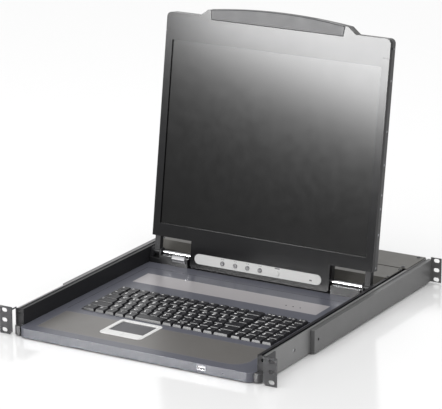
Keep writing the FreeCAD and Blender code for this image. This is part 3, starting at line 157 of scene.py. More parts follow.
@dataclass(frozen=True)
class Finish:
    """One surface finish, made as a procedural material on object coordinates.

    Lengths are in metres. The grain's depth is the height of its relief.
    """

    name: str
    colour: Colour
    roughness: float = 0.5
    metallic: float = 0.0
    grain: Grain = Grain.MOULDED
    grain_size: float = 0.0008
    grain_depth: float = 0.00003
    variation: float = 0.10
    second_colour: Colour | None = None
    # Strength of a painted highlight that lightens edges.
    edge_wear: float = 0.0
    coat: float = 0.0
    coat_roughness: float = 0.2
    specular: float = 0.5
    cloud_scale: float = 22.0
    # How far the painted edge highlight lightens the colour.
    highlight_gain: float = 2.5
    highlight_lift: float = 0.06
    edge_radius: float = 0.8 * MM
    dot_radii: tuple[float, float] = (0.22, 0.34)

    @classmethod
    def powder(
        cls, name: str, colour: Colour, roughness: float, metallic: float, **others: float
    ) -> "Finish":
        """A powder coat on steel."""
        return cls(name, colour, roughness, metallic, Grain.POWDER, 1.2 * MM, 0.04 * MM, **others)

    @classmethod
    def smooth(
        cls, name: str, colour: Colour, roughness: float, metallic: float = 0.0, **others: float
    ) -> "Finish":
        """A finish without relief."""
        return cls(name, colour, roughness, metallic, Grain.SMOOTH, **others)

    def material(self) -> bpy.types.Material:
        """Makes the material, or returns it if it has been made."""
        name = f"{self.name}_finish"
        found = bpy.data.materials.get(name)
        if found:
            return found
        material = bpy.data.materials.new(name)
        material.use_nodes = True
        material.node_tree.nodes.clear()
        tree = NodeTree(material.node_tree)
        place = tree.add("ShaderNodeTexCoord").outputs["Object"]
        shader = tree.add("ShaderNodeBsdfPrincipled")
        shader.inputs["Metallic"].default_value = self.metallic
        shader.inputs["Coat Weight"].default_value = self.coat
        shader.inputs["Coat Roughness"].default_value = self.coat_roughness
        shader.inputs["Specular IOR Level"].default_value = self.specular
        colour = self._colour(tree, place)
        tree.tree.links.new(colour, shader.inputs["Base Color"])
        tree.tree.links.new(self._roughness(tree, place), shader.inputs["Roughness"])
        normal = self._relief(tree, place)
        if normal:
            tree.tree.links.new(normal, shader.inputs["Normal"])
        output = tree.add("ShaderNodeOutputMaterial")
        tree.tree.links.new(shader.outputs[0], output.inputs["Surface"])
        return material

    def _colour(self, tree: NodeTree, place: bpy.types.NodeSocket) -> bpy.types.NodeSocket:
        """Base colour with soft cloudy variation, dots where printed, and a painted highlight that lightens
        edges.
        """
        cloud = tree.noise(place, self.cloud_scale, 4.0)
        low = [channel * (1.0 - self.variation) for channel in self.colour]
        high = [min(1.0, channel * (1.0 + self.variation)) for channel in self.colour]
        colour = tree.mixed(cloud, (*low, 1.0), (*high, 1.0))
        if self.second_colour and self.grain in (Grain.DOTTED, Grain.PRINTED):
            colour = tree.mixed(self._dots(tree, place), colour, (*self.second_colour, 1.0))
        # Painted highlight: edges are lightened where the bevel mask is high.
        if self.edge_wear:
            highlight_colour = [min(1.0, channel * self.highlight_gain + self.highlight_lift) for channel in self.colour]
            colour = tree.mixed(self._edges(tree), colour, (*highlight_colour, 1.0))
        return colour

    def _edges(self, tree: NodeTree) -> bpy.types.NodeSocket:
        """Mask that is high where two faces meet, used for the painted edge highlight."""
        plain = tree.add("ShaderNodeNewGeometry").outputs["Normal"]
        rounded = tree.add("ShaderNodeBevel", {"Radius": self.edge_radius}, samples=4).outputs[0]
        along = tree.vector("DOT_PRODUCT", plain, rounded).outputs["Value"]
        sharp = tree.maths("SUBTRACT", 1.0, along)
        mask = tree.maths("MULTIPLY", sharp, 3.0)
        return tree.maths("MULTIPLY", tree.maths("MINIMUM", mask, 1.0), self.edge_wear)

    def _dots(self, tree: NodeTree, place: bpy.types.NodeSocket) -> bpy.types.NodeSocket:
        """A square lattice of round dots, one where a dot is and zero between."""
        cell = tree.add("ShaderNodeMapping", {0: place, 3: (1.0 / self.grain_size,) * 3}).outputs[0]
        wrapped = tree.vector("FRACTION", cell).outputs[0]
        centred = tree.vector("SUBTRACT", wrapped, (0.5, 0.5, 0.5)).outputs[0]
        flat = tree.vector("MULTIPLY", centred, (1.0, 1.0, 0.0)).outputs[0]
        far = tree.vector("LENGTH", flat).outputs["Value"]
        inner, outer = self.dot_radii
        edge = {"Value": far, "From Min": inner, "From Max": outer, "To Min": 1.0, "To Max": 0.0}
        return tree.add("ShaderNodeMapRange", edge).outputs[0]

    def _roughness(self, tree: NodeTree, place: bpy.types.NodeSocket) -> bpy.types.NodeSocket:
        """Roughness with faint handling marks."""
        marks = tree.noise(place, 60.0, 3.0)
        low = max(0.02, self.roughness * 0.88)
        high = min(1.0, self.roughness * 1.12)
        return tree.add("ShaderNodeMapRange", {"Value": marks, "To Min": low, "To Max": high}).outputs[0]

    def _relief(self, tree: NodeTree, place: bpy.types.NodeSocket) -> bpy.types.NodeSocket | None:
        """Bump of the finish's grain."""
        if self.grain is Grain.SMOOTH:
            return None
        scale = 1.0 / self.grain_size
        if self.grain is Grain.BRUSHED:
            stretched = tree.add("ShaderNodeMapping", {0: place, 3: (scale * 0.02, scale, scale)}).outputs[0]
            height = tree.noise(stretched, 1.0, 2.0)
        elif self.grain is Grain.POWDER:
            height = tree.noise(place, scale, 1.0)
        elif self.grain is Grain.MOULDED:
            height = tree.add(
                "ShaderNodeTexVoronoi", {"Vector": place, "Scale": scale}, feature="SMOOTH_F1"
            ).outputs["Distance"]
        else:
            height = self._dots(tree, place)
        bump = tree.add("ShaderNodeBump", {"Strength": 0.6, "Distance": self.grain_depth, "Height": height})
        return bump.outputs[0]


class Finishes:
    """Every finish on the console drawer."""

    BLACK_STEEL = Finish.powder(
        "black_steel", (0.022, 0.022, 0.024), 0.42, 0.0, edge_wear=0.35, specular=0.16
    )
    # Lighter copies of the black steel for the chassis sides and rear brackets: their grey is painted sheen,
    # the reflection of the white surroundings painted into the colour.
    SIDE_SHEEN_STEEL = Finish.powder("side_steel", (0.185, 0.185, 0.186), 0.4, 0.1, edge_wear=0.3)
    BRACKET_SHEEN_STEEL = Finish.powder("bracket_steel", (0.12, 0.12, 0.12), 0.4, 0.1, edge_wear=0.3)
    EAR_STEEL = Finish.powder("ear_steel", (0.048, 0.048, 0.051), 0.4, 0.05, edge_wear=0.4, specular=0.2)
    COVER_STEEL = Finish(
        "cover_steel", (0.095, 0.090, 0.080), 0.42, 0.2, Grain.POWDER, 0.0014, 0.00004, edge_wear=0.3
    )
    SLIDE_STEEL = Finish("slide_steel", (0.50, 0.51, 0.53), 0.3, 1.0, Grain.BRUSHED, 0.0004, 0.00001)
    BALL_STEEL = Finish.smooth("ball_steel", (0.75, 0.75, 0.77), 0.12, 1.0, variation=0.05)
    SCREW_STEEL = Finish("screw_steel", (0.34, 0.34, 0.36), 0.3, 1.0, Grain.BRUSHED, 0.0003, 0.00001)
    BLACK_SCREW = Finish("black_screw", (0.10, 0.10, 0.105), 0.3, 0.8, Grain.POWDER, 0.0008, 0.00001)
    PORT_METAL = Finish("port_metal", (0.52, 0.52, 0.54), 0.25, 1.0, Grain.BRUSHED, 0.0004, 0.00001)
    SUPPLY_CAN = Finish("supply_can", (0.55, 0.55, 0.55), 0.35, 1.0, Grain.BRUSHED, 0.0006, 0.00001)
    BOARD = Finish(
        "board_laminate", (0.015, 0.10, 0.045), 0.35, 0.0, Grain.PRINTED, 0.0055, 0.00003,
        second_colour=(0.55, 0.42, 0.18),
    )
    # The strong edge lightening on the tray is a painted highlight along its front edge.
    TRAY = Finish(
        "tray_plastic", (0.115, 0.118, 0.142), 0.3, 0.0, Grain.MOULDED, 0.0007, 0.00001,
        edge_wear=1.6, coat=0.12, specular=0.25,
    )
    PALM = Finish(
        "palm_sheet", (0.140, 0.134, 0.128), 0.33, 0.1, Grain.DOTTED, 0.0024, 0.00002,
        second_colour=(0.19, 0.18, 0.17),
    )
    INDICATOR = Finish(
        "indicator_film", (0.44, 0.42, 0.43), 0.3, 0.15, Grain.BRUSHED, 0.0009, 0.000006, variation=0.05
    )
    # The edge lightening on the keys is a painted highlight.
    KEY = Finish(
        "key_plastic", (0.024, 0.024, 0.027), 0.3, 0.0, Grain.MOULDED, 0.0006, 0.00001,
        edge_wear=1.0, specular=0.22,
    )
    LEGEND = Finish.smooth("key_legend", (0.92, 0.92, 0.92), 0.5, variation=0.03)
    WHITE = Finish(
        "white_plastic", (0.72, 0.72, 0.71), 0.3, 0.0, Grain.MOULDED, 0.0008, 0.00001, variation=0.03
    )
    STRIP = Finish(
        "strip_plastic", (0.66, 0.66, 0.65), 0.34, 0.0, Grain.MOULDED, 0.0008, 0.00001,
        variation=0.03, specular=0.3,
    )
    PAD = Finish(
        "pad_film", (0.060, 0.060, 0.066), 0.4, 0.0, Grain.DOTTED, 0.0012, 0.00001,
        second_colour=(0.08, 0.08, 0.088),
    )
    GREY_BUTTON = Finish(
        "button_grey", (0.075, 0.075, 0.080), 0.28, 0.1, Grain.MOULDED, 0.0006, 0.00001, variation=0.05
    )
    CATCH_STEEL = Finish(
        "catch_steel", (0.20, 0.20, 0.205), 0.34, 0.5, Grain.BRUSHED, 0.0005, 0.000002, edge_wear=0.4
    )
    SHAFT = Finish(
        "shaft_steel", (0.78, 0.78, 0.80), 0.2, 1.0, Grain.BRUSHED, 0.0004, 0.0000006, variation=0.04
    )
    LEVER = Finish("lever_plastic", (0.30, 0.30, 0.31), 0.3, 0.1, Grain.MOULDED, 0.0007, 0.00001)
    BEZEL = Finish(
        "lid_paint", (0.010, 0.010, 0.011), 0.17, 0.0, Grain.POWDER, 0.0009, 0.000004,
        edge_wear=0.25, specular=0.13,
    )
    LID_BACK = Finish.powder("lid_back_paint", (0.030, 0.030, 0.031), 0.4, 0.3, edge_wear=0.3)
    SCREEN = Finish.smooth("screen_film", (0.003, 0.003, 0.003), 0.17, variation=0.02, specular=0.15)
    GRIP = Finish(
        "grip_plastic", (0.062, 0.062, 0.066), 0.4, 0.0, Grain.MOULDED, 0.0008, 0.00002, specular=0.25
    )
    CAP = Finish("end_cap_plastic", (0.035, 0.035, 0.038), 0.4, 0.0, Grain.MOULDED, 0.0007, 0.00002)
    BLACK_PLASTIC = Finish("black_plastic", (0.014, 0.014, 0.015), 0.42, 0.0, Grain.MOULDED, 0.0008, 0.00002)
    SEAM_SHADE = Finish.smooth("seam_shadow", (0.01, 0.01, 0.01), 0.7, variation=0.02)
    PRINT = Finish.smooth("dark_print", (0.05, 0.05, 0.055), 0.5, variation=0.03)
    BRASS = Finish.smooth("contact_brass", (0.75, 0.55, 0.22), 0.25, 1.0, variation=0.05)
    LENS = Finish.smooth(
        "clear_lens", (0.85, 0.86, 0.88), 0.12, variation=0.02, coat=0.6, coat_roughness=0.05
    )
    LAMP = Finish.smooth("lamp_dot", (0.04, 0.05, 0.05), 0.2, variation=0.02, coat=0.5, coat_roughness=0.05)
    FLOOR = Finish.smooth("floor_paper", (0.90, 0.90, 0.90), 0.12, variation=0.0)


# ------------------------------------------------------------------ mesh helpers


class Workshop:
    """Makes pieces: every mesh that becomes part of the console goes through here."""

    @staticmethod
    def cad_mesh(node: str) -> bmesh.types.BMesh:
        """A merged copy of a CAD node's mesh.

        Args:
            node: The CAD node's name.

        Returns:
            The copy, with flat areas joined into large faces.
        """
        shape = bmesh.new()
        shape.from_mesh(frame["nodes"][node].data)
        bmesh.ops.remove_doubles(shape, verts=shape.verts, dist=MERGE_DISTANCE)
        bmesh.ops.dissolve_limit(
            shape, angle_limit=math.radians(0.5), verts=shape.verts, edges=shape.edges, delimit={"NORMAL"}
        )
        return shape

    @staticmethod
    def islands(node: str) -> list[Box]:
        """Boxes of a CAD node's separate solids, left to right.

        Args:
            node: The CAD node's name.

        Returns:
            The lowest and highest corner of each solid.
        """
        shape = bmesh.new()
        shape.from_mesh(frame["nodes"][node].data)
        bmesh.ops.remove_doubles(shape, verts=shape.verts, dist=MERGE_DISTANCE)
        shape.verts.ensure_lookup_table()
        seen: set[int] = set()
        boxes = []
        for start in shape.verts:
            if start.index in seen:
                continue
            seen.add(start.index)
            stack, members = [start], []
            while stack:
                vert = stack.pop()
                members.append(vert.co.copy())
                for edge in vert.link_edges:
                    other = edge.other_vert(vert)
                    if other.index not in seen:
                        seen.add(other.index)
                        stack.append(other)
            low = Vector([min(point[axis] for point in members) for axis in range(3)])
            high = Vector([max(point[axis] for point in members) for axis in range(3)])
            boxes.append((low, high))
        shape.free()
        return sorted(boxes, key=lambda box: (box[0].x, box[0].y, box[0].z))

    @staticmethod
    def finished(shape: bmesh.types.BMesh, name: str) -> bpy.types.Mesh:
        """A shape's mesh. The shape is used up."""
        mesh = bpy.data.meshes.new(name)
        shape.to_mesh(mesh)
        shape.free()
        return mesh

    @staticmethod
    def temporary(shape: bmesh.types.BMesh, name: str = "temporary") -> bpy.types.Object:
        """An object that holds a shape while modifiers work on it."""
        return stand(name, Workshop.finished(shape, name))

    @staticmethod
    def baked(holder: bpy.types.Object) -> bpy.types.Mesh:
        """The evaluated mesh of a temporary object, which is then removed."""
        bpy.context.view_layer.update()
        graph = bpy.context.evaluated_depsgraph_get()
        mesh = bpy.data.meshes.new_from_object(holder.evaluated_get(graph), depsgraph=graph)
        bpy.data.objects.remove(holder)
        return mesh

    @classmethod
    def eased(cls, shape: bmesh.types.BMesh, width: float, segments: int = 2) -> bpy.types.Mesh:
        """A shape with its sharp edges eased.

        Args:
            shape: The shape, which is used up.
            width: Width of the eased edge, in metres.
            segments: Steps across the edge.

        Returns:
            The finished mesh.
        """
        holder = cls.temporary(shape)
        bevel = holder.modifiers.new("ease", "BEVEL")
        bevel.width = width
        bevel.segments = segments
        bevel.limit_method = "ANGLE"
        bevel.angle_limit = math.radians(40)
        bevel.use_clamp_overlap = True
        return cls.baked(holder)

    @classmethod
    def flat_faced(cls, mesh: bpy.types.Mesh) -> bpy.types.Mesh:
        """A copy whose normals follow its larger faces, so that flat sheet looks flat up to its edges."""
        holder = stand("temporary", mesh)
        weighted = holder.modifiers.new("weigh", "WEIGHTED_NORMAL")
        weighted.mode = "FACE_AREA"
        weighted.weight = 100
        weighted.keep_sharp = True
        return cls.baked(holder)

    @staticmethod
    def piece(
        name: str,
        mesh: bpy.types.Mesh,
        finish: Finish,
        body: str,
        slot: str,
        replaces: Sequence[str] = (),
        smooth_angle: float = 35.0,
    ) -> bpy.types.Object:
        """Turns a mesh into a piece of the console.

        Args:
            name: The piece's name.
            mesh: Its mesh, already in place.
            finish: Its finish.
            body: The CAD body it moves with.
            slot: The record's material slot; not used.
            replaces: CAD nodes it stands for.
            smooth_angle: Edges sharper than this stay sharp, in degrees.

        Returns:
            The piece.
        """
        mesh.materials.clear()
        mesh.materials.append(finish.material())
        for polygon in mesh.polygons:
            polygon.use_smooth = True
        mesh.set_sharp_from_angle(angle=math.radians(smooth_angle))
        mesh = Workshop.flat_faced(mesh)
        mesh.name = name
        made = stand(name, mesh)
        if replaces:
            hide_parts(*replaces)
        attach(made, body)
        LOG.info("%s: %d faces on %s", name, len(mesh.polygons), body)
        return made

    @classmethod
    def eased_node(
        cls, node: str, finish: Finish, body: str, slot: str, width: float = 0.3 * MM, segments: int = 2
    ) -> bpy.types.Object:
        """Replaces a CAD node with a copy whose edges are eased and which stays inside the node's box."""
        mesh = cls.eased(cls.cad_mesh(node), width, segments)
        low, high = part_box(node)
        for vert in mesh.vertices:
            vert.co = [min(max(place, low[axis]), high[axis]) for axis, place in enumerate(vert.co)]
        return cls.piece(f"{node}_shaped", mesh, finish, body, slot, (node,))

    @classmethod
    def eased_nodes(cls, body: str, *rows: tuple[str, Finish, str, float, int]) -> None:
        """Replaces CAD nodes that move with one body.

        Args:
            body: The CAD body they move with.
            rows: Each node's name, finish, material slot, edge width in millimetres and steps.
        """
        for node, finish, slot, width, segments in rows:
            cls.eased_node(node, finish, body, slot, width * MM, segments)

    @staticmethod
    def dress(node: str, finish: Finish) -> None:
        """Gives a CAD node that stays as it is its finish."""
        for slot in frame["nodes"][node].material_slots:
            slot.material = finish.material()
        LOG.info("%s: kept from CAD, %s", node, finish.name)

    @staticmethod
    def block(shape: bmesh.types.BMesh, low: Sequence[float], high: Sequence[float]) -> None:
        """Adds a rectangular block to a shape."""
        size = [high[axis] - low[axis] for axis in range(3)]
        centre = [(high[axis] + low[axis]) / 2 for axis in range(3)]
        matrix = Matrix.Translation(centre) @ Matrix.Diagonal((*size, 1.0))
        bmesh.ops.create_cube(shape, size=1.0, matrix=matrix)

    @staticmethod
    def turned(
        shape: bmesh.types.BMesh, profile: Sequence[tuple[float, float]], place: Matrix, steps: int = 24
    ) -> None:
        """Adds a round piece turned from a profile.

        Args:
            shape: The shape to add to.
            profile: (radius, height) points from the bottom's centre to the top's centre.
            place: Where the piece goes. Its own axis is Z.
            steps: Facets round the piece.
        """
        rings = []
        for radius, height in profile:
            if radius < 1e-9:
                rings.append([shape.verts.new(place @ Vector((0, 0, height)))])
                continue
            ring = []
            for step in range(steps):
                angle = 2 * math.pi * step / steps
                point = Vector((radius * math.cos(angle), radius * math.sin(angle), height))
                ring.append(shape.verts.new(place @ point))
            rings.append(ring)
        faces = []
        for lower, upper in zip(rings, rings[1:]):
            for step in range(steps):
                following = (step + 1) % steps
                if len(lower) == 1:
                    corners = [lower[0], upper[following], upper[step]]
                elif len(upper) == 1:
                    corners = [lower[step], lower[following], upper[0]]
                else:
                    corners = [lower[step], lower[following], upper[following], upper[step]]
                faces.append(shape.faces.new(corners))
        bmesh.ops.recalc_face_normals(shape, faces=faces)

    @staticmethod
    def lettering(text: str, size: float, thickness: float) -> bpy.types.Mesh:
        """A flat mesh of raised letters that starts at the origin and lies below it in Y.

        Args:
            text: The letters.
            size: Letter height, in metres.
            thickness: How thick the letters are, in metres.

        Returns:
            The letters' mesh.
        """
        curve = bpy.data.curves.new("letters", "FONT")
        curve.body = text
        curve.size = size * LETTER_SCALE
        curve.align_x = "LEFT"
        curve.align_y = "TOP"
        curve.resolution_u = 2
        curve.extrude = thickness / 2
        curve.offset = size * LETTER_WEIGHT
        return Workshop.baked(stand("letters", curve))


class Repeater:
    """Places copies of a small template on a list of points, through Geometry Nodes."""

    def __init__(self, template: bpy.types.Mesh, finish: Finish) -> None:
        """Keeps the template.

        Args:
            template: The mesh to repeat, drawn round the origin with its outer side along +Z.
            finish: The finish of every copy.
        """
        self.template = template
        self.finish = finish

    def tree(self) -> bpy.types.NodeTree:
        """Builds the node group: points in, turned and scaled copies out."""
        group = bpy.data.node_groups.new("placed_copies", "GeometryNodeTree")
        face = group.interface
        face.new_socket("Points", in_out="INPUT", socket_type="NodeSocketGeometry")
        face.new_socket("Template", in_out="INPUT", socket_type="NodeSocketObject")
        face.new_socket("Size", in_out="INPUT", socket_type="NodeSocketFloat")
        face.new_socket("Finish", in_out="INPUT", socket_type="NodeSocketMaterial")
        face.new_socket("Copies", in_out="OUTPUT", socket_type="NodeSocketGeometry")
        tree = NodeTree(group)
        source = tree.add("NodeGroupInput")
        template = tree.add("GeometryNodeObjectInfo", {"Object": source.outputs["Template"]})
        turn = tree.add("GeometryNodeInputNamedAttribute", {"Name": "turn"}, data_type="FLOAT_VECTOR")
        angles = tree.add("FunctionNodeEulerToRotation", {0: turn.outputs[0]})
        copies = tree.add(
            "GeometryNodeInstanceOnPoints",
            {
                "Points": source.outputs["Points"],
                "Instance": template.outputs["Geometry"],
                "Rotation": angles.outputs[0],
                "Scale": source.outputs["Size"],
            },
        )
        solid = tree.add("GeometryNodeRealizeInstances", {0: copies.outputs[0]})
        paint = {0: solid.outputs[0], "Material": source.outputs["Finish"]}
        dressed = tree.add("GeometryNodeSetMaterial", paint)
        result = tree.add("NodeGroupOutput")
        group.links.new(dressed.outputs[0], result.inputs[0])
        return group

    def mesh(self, places: Sequence[Place], size: float = 1.0) -> bpy.types.Mesh:
        """Makes the copies.

        Args:
            places: A point and Euler angles for each copy.
            size: Scale of every copy.

        Returns:
            One plain mesh of all the copies.
        """
        points = bpy.data.meshes.new("points")
        points.from_pydata([tuple(point) for point, _ in places], [], [])
        turns = points.attributes.new("turn", "FLOAT_VECTOR", "POINT")
        for index, (_, angles) in enumerate(places):
            turns.data[index].vector = angles
        holder = stand("points", points)
        pattern = stand("template", self.template)
        group = self.tree()
        modifier = holder.modifiers.new("copies", "NODES")
        modifier.node_group = group
        values = {"Template": pattern, "Size": size, "Finish": self.finish.material()}
        for item in group.interface.items_tree:
            if item.in_out == "INPUT" and item.name in values:
                modifier[item.identifier] = values[item.name]
        made = Workshop.baked(holder)
        bpy.data.objects.remove(pattern)
        made.materials.clear()
        made.materials.append(self.finish.material())
        return made


def screw_template(head_radius: float, head_height: float, domed: bool) -> bpy.types.Mesh:
    """A screw head with a cross recess, its seat at the origin.

    Args:
        head_radius: Radius of the head, in metres.
        head_height: Height of the head, in metres.
        domed: Whether the head is a dome rather than flat.

    Returns:
        The template's mesh.
    """
    rise = head_height if domed else head_height * 0.9
    profile = [
        (0, 0),
        (head_radius, 0),
        (head_radius, head_height * 0.45),
        (head_radius * 0.86, head_height * 0.8),
        (head_radius * 0.55, rise * 0.97 if domed else head_height),
        (0, head_height),
    ]
    head = bmesh.new()
    Workshop.turned(head, profile, Matrix.Identity(4), 28)
    holder = Workshop.temporary(head)
    cutter = bmesh.new()
    arm, half, depth = head_radius * 0.58, head_radius * 0.11, head_height * 0.45
    Workshop.block(cutter, (-arm, -half, depth), (arm, half, head_height * 2))
    Workshop.block(cutter, (-half, -arm, depth), (half, arm, head_height * 2))
    tool = Workshop.temporary(cutter, "cutter")
    cut = holder.modifiers.new("recess", "BOOLEAN")
    cut.operation = "DIFFERENCE"
    cut.object = tool
    cut.use_self = True
    mesh = Workshop.baked(holder)
    bpy.data.objects.remove(tool)
    return mesh


def screw_heads(
    node: str,
    body: str,
    finish: Finish,
    radius: float,
    height: float,
    turn: float = 0.0,
    domed: bool = True,
    sideways: bool | None = None,
) -> None:
    """Replaces a CAD node's screws with cross-recess heads.

    Args:
        node: The screws' CAD node.
        body: The CAD body they move with.
        finish: Their finish.
        radius: Radius of the heads, in metres.
        height: Height of the heads, in metres.
        turn: Turn of the recess of an upright screw, in radians.
        domed: Whether the heads are domes rather than flat.
        sideways: Whether the screws lie across. If it is None, those do whose box is taller than wide.
    """
    places = []
    for low, high in Workshop.islands(node):
        centre = (low + high) / 2
        tall = high.x - low.x < high.z - low.z
        if tall if sideways is None else sideways:
            outward = 1.0 if centre.x > 0 else -1.0
            outer = high.x if outward > 0 else low.x
            seat = Vector((outer - outward * height, centre.y, centre.z))
            places.append((seat, (0.0, outward * math.pi / 2, 0.0)))
        else:
            places.append((Vector((centre.x, centre.y, high.z - height)), (0.0, 0.0, turn)))
    mesh = Repeater(screw_template(radius, height, domed), finish).mesh(places)
    Workshop.piece(f"{node.removesuffix('s')}_heads", mesh, finish, body, "screw_steel", (node,))


# ------------------------------------------------------------------ the display's leaning plane


@dataclass(frozen=True)
class LidPlane:
    """Converts places on the upright drawing of the display lid to the row frame."""

    hinge: Vector
    lean: float

    @classmethod
    def from_record(cls) -> "LidPlane":
        """Reads the hinge's place from the frame's joints."""
        joint = next(entry for entry in frame["joints"] if entry["name"] == "lid_hinge")
        return cls(Vector(joint["pos_m"]), math.radians(LID_LEAN))

    def matrix(self) -> Matrix:
        """Upright drawing to row frame."""
        return Matrix.Translation(self.hinge) @ Matrix.Rotation(self.lean, 4, "X")

    def at(self, x: float, out: float, up: float) -> Vector:
        """A point on the lid.

        Args:
            x: Across, in metres.
            out: Depth from the middle of the lid, rearwards positive, in metres.
            up: Height above the hinge along the lid, in metres.

        Returns:
            The point in the row frame.
        """
        return self.matrix() @ Vector((x, out, up))

    def facing(self) -> tuple[float, float, float]:
        """Angles that turn a template's +Z out of the lid's front."""
        return (math.radians(90.0) + self.lean, 0.0, 0.0)


# ------------------------------------------------------------------ sub-assemblies


@dataclass
class Chassis:
    """Rack ears, chassis sides, slides and rear brackets."""

    edge: float = 0.3 * MM
    screw_head: float = 3.2 * MM
    screw_height: float = 1.4 * MM
    screw_turn: float = 0.6

    def build(self) -> None:
        """Makes every piece of the chassis."""
        for side in ("left", "right"):
            Workshop.eased_node(f"front_ear_{side}", Finishes.EAR_STEEL, "chassis", "ear_steel", self.edge)
            # Walls and rear brackets take the lighter steel copies with painted sheen.
            wall = f"chassis_side_{side}"
            Workshop.eased_node(wall, Finishes.SIDE_SHEEN_STEEL, "chassis", "black_steel", self.edge)
            bracket = f"rear_bracket_{side}"
            Workshop.eased_node(bracket, Finishes.BRACKET_SHEEN_STEEL, bracket, "black_steel", self.edge)
        for node in ("slide_outer_members", "slide_middle_members", "slide_inner_members", "bracket_guides"):
            Workshop.dress(node, Finishes.SLIDE_STEEL)
        for node in ("outer_ball_runs", "inner_ball_runs"):
            Workshop.dress(node, Finishes.BALL_STEEL)
        finish = Finishes.BLACK_SCREW
        screw_heads("chassis_screws", "chassis", finish, self.screw_head, self.screw_height, self.screw_turn)


@dataclass
class SwitchBox:
    """The box at the rear: pan, cover, boards, ports, mains inlet and rocker."""

    edge: float = 0.3 * MM
    pins_across: int = 5
    pin_rows: int = 3
    pin_pitch: float = 2.2 * MM
    pin_radius: float = 0.5 * MM
    pin_row_share: float = 0.85
    pin_stagger: float = 0.25
    mouth_depth: float = 0.25 * MM
    insert_lift: float = 0.05 * MM
    insert_half: tuple[float, float] = (6.6 * MM, 3.0 * MM)
    insert_drop: float = 6.2 * MM

    def build(self) -> None:
        """Makes every piece of the switch box."""
        Workshop.eased_nodes(
            "chassis",
            ("switch_box_pan", Finishes.BLACK_STEEL, "black_steel", 0.3, 2),
            ("switch_box_cover", Finishes.COVER_STEEL, "black_steel", 0.3, 2),
            ("mains_inlet", Finishes.BLACK_PLASTIC, "inlet_plastic", 0.4, 2),
        )
        Workshop.dress("kvm_main_board", Finishes.BOARD)
        Workshop.dress("power_supply_unit", Finishes.SUPPLY_CAN)
        rocker = "power_rocker"
        Workshop.eased_node(rocker, Finishes.BLACK_PLASTIC, rocker, "inlet_plastic", 0.8 * MM, 3)
        row = "port_connectors"
        ports = Workshop.eased_node(row, Finishes.PORT_METAL, "chassis", "port_metal", self.edge)
        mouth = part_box(row)[1].y - self.mouth_depth
        for vert in ports.data.vertices:
            vert.co.y = min(vert.co.y, mouth)
        self.port_faces()
        self.rocker_marks()

    def port_faces(self) -> None:
        """Dark inserts with rows of contact holes in the ports' mouths."""
        inserts = bmesh.new()
        places = []
        for low, high in Workshop.islands("port_connectors"):
            centre = (low + high) / 2
            face_y = high.y - self.mouth_depth + self.insert_lift
            half_x, half_z = self.insert_half
            middle_z = high.z - self.insert_drop
            Workshop.block(
                inserts,
                (centre.x - half_x, face_y - 0.2 * MM, middle_z - half_z),
                (centre.x + half_x, face_y, middle_z + half_z),
            )
            for row in range(self.pin_rows):
                for column in range(self.pins_across):
                    step = column - (self.pins_across - 1) / 2 + self.pin_stagger * (row % 2)
                    x = centre.x + step * self.pin_pitch
                    z = middle_z + (row - 1) * self.pin_pitch * self.pin_row_share
                    places.append((Vector((x, face_y, z)), (-math.pi / 2, 0.0, 0.0)))
        mesh = Workshop.eased(inserts, 0.1 * MM, 1)
        Workshop.piece("port_inserts", mesh, Finishes.BLACK_PLASTIC, "chassis", "inlet_plastic")
        pin = bmesh.new()
        profile = [(0, 0), (self.pin_radius, 0), (self.pin_radius, 0.05 * MM), (0, 0.12 * MM)]
        Workshop.turned(pin, profile, Matrix.Identity(4), 8)
        pins = Repeater(Workshop.finished(pin, "pin"), Finishes.BRASS).mesh(places)
        Workshop.piece("port_contacts", pins, Finishes.BRASS, "chassis", "port_metal")

    def rocker_marks(self) -> None:
        """The generic on mark on the rocker's face."""
        low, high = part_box("power_rocker")
        centre = (low + high) / 2
        marks = bmesh.new()
        reach = high.y - 0.15 * MM
        Workshop.block(
            marks,
            (centre.x - 0.3 * MM, reach - 0.9 * MM, centre.z + 4.6 * MM),
            (centre.x + 0.3 * MM, reach + 0.05 * MM, centre.z + 7.2 * MM),
        )
        mesh = Workshop.finished(marks, "mark")
        Workshop.piece("rocker_mark", mesh, Finishes.LEGEND, "power_rocker", "white_plastic")


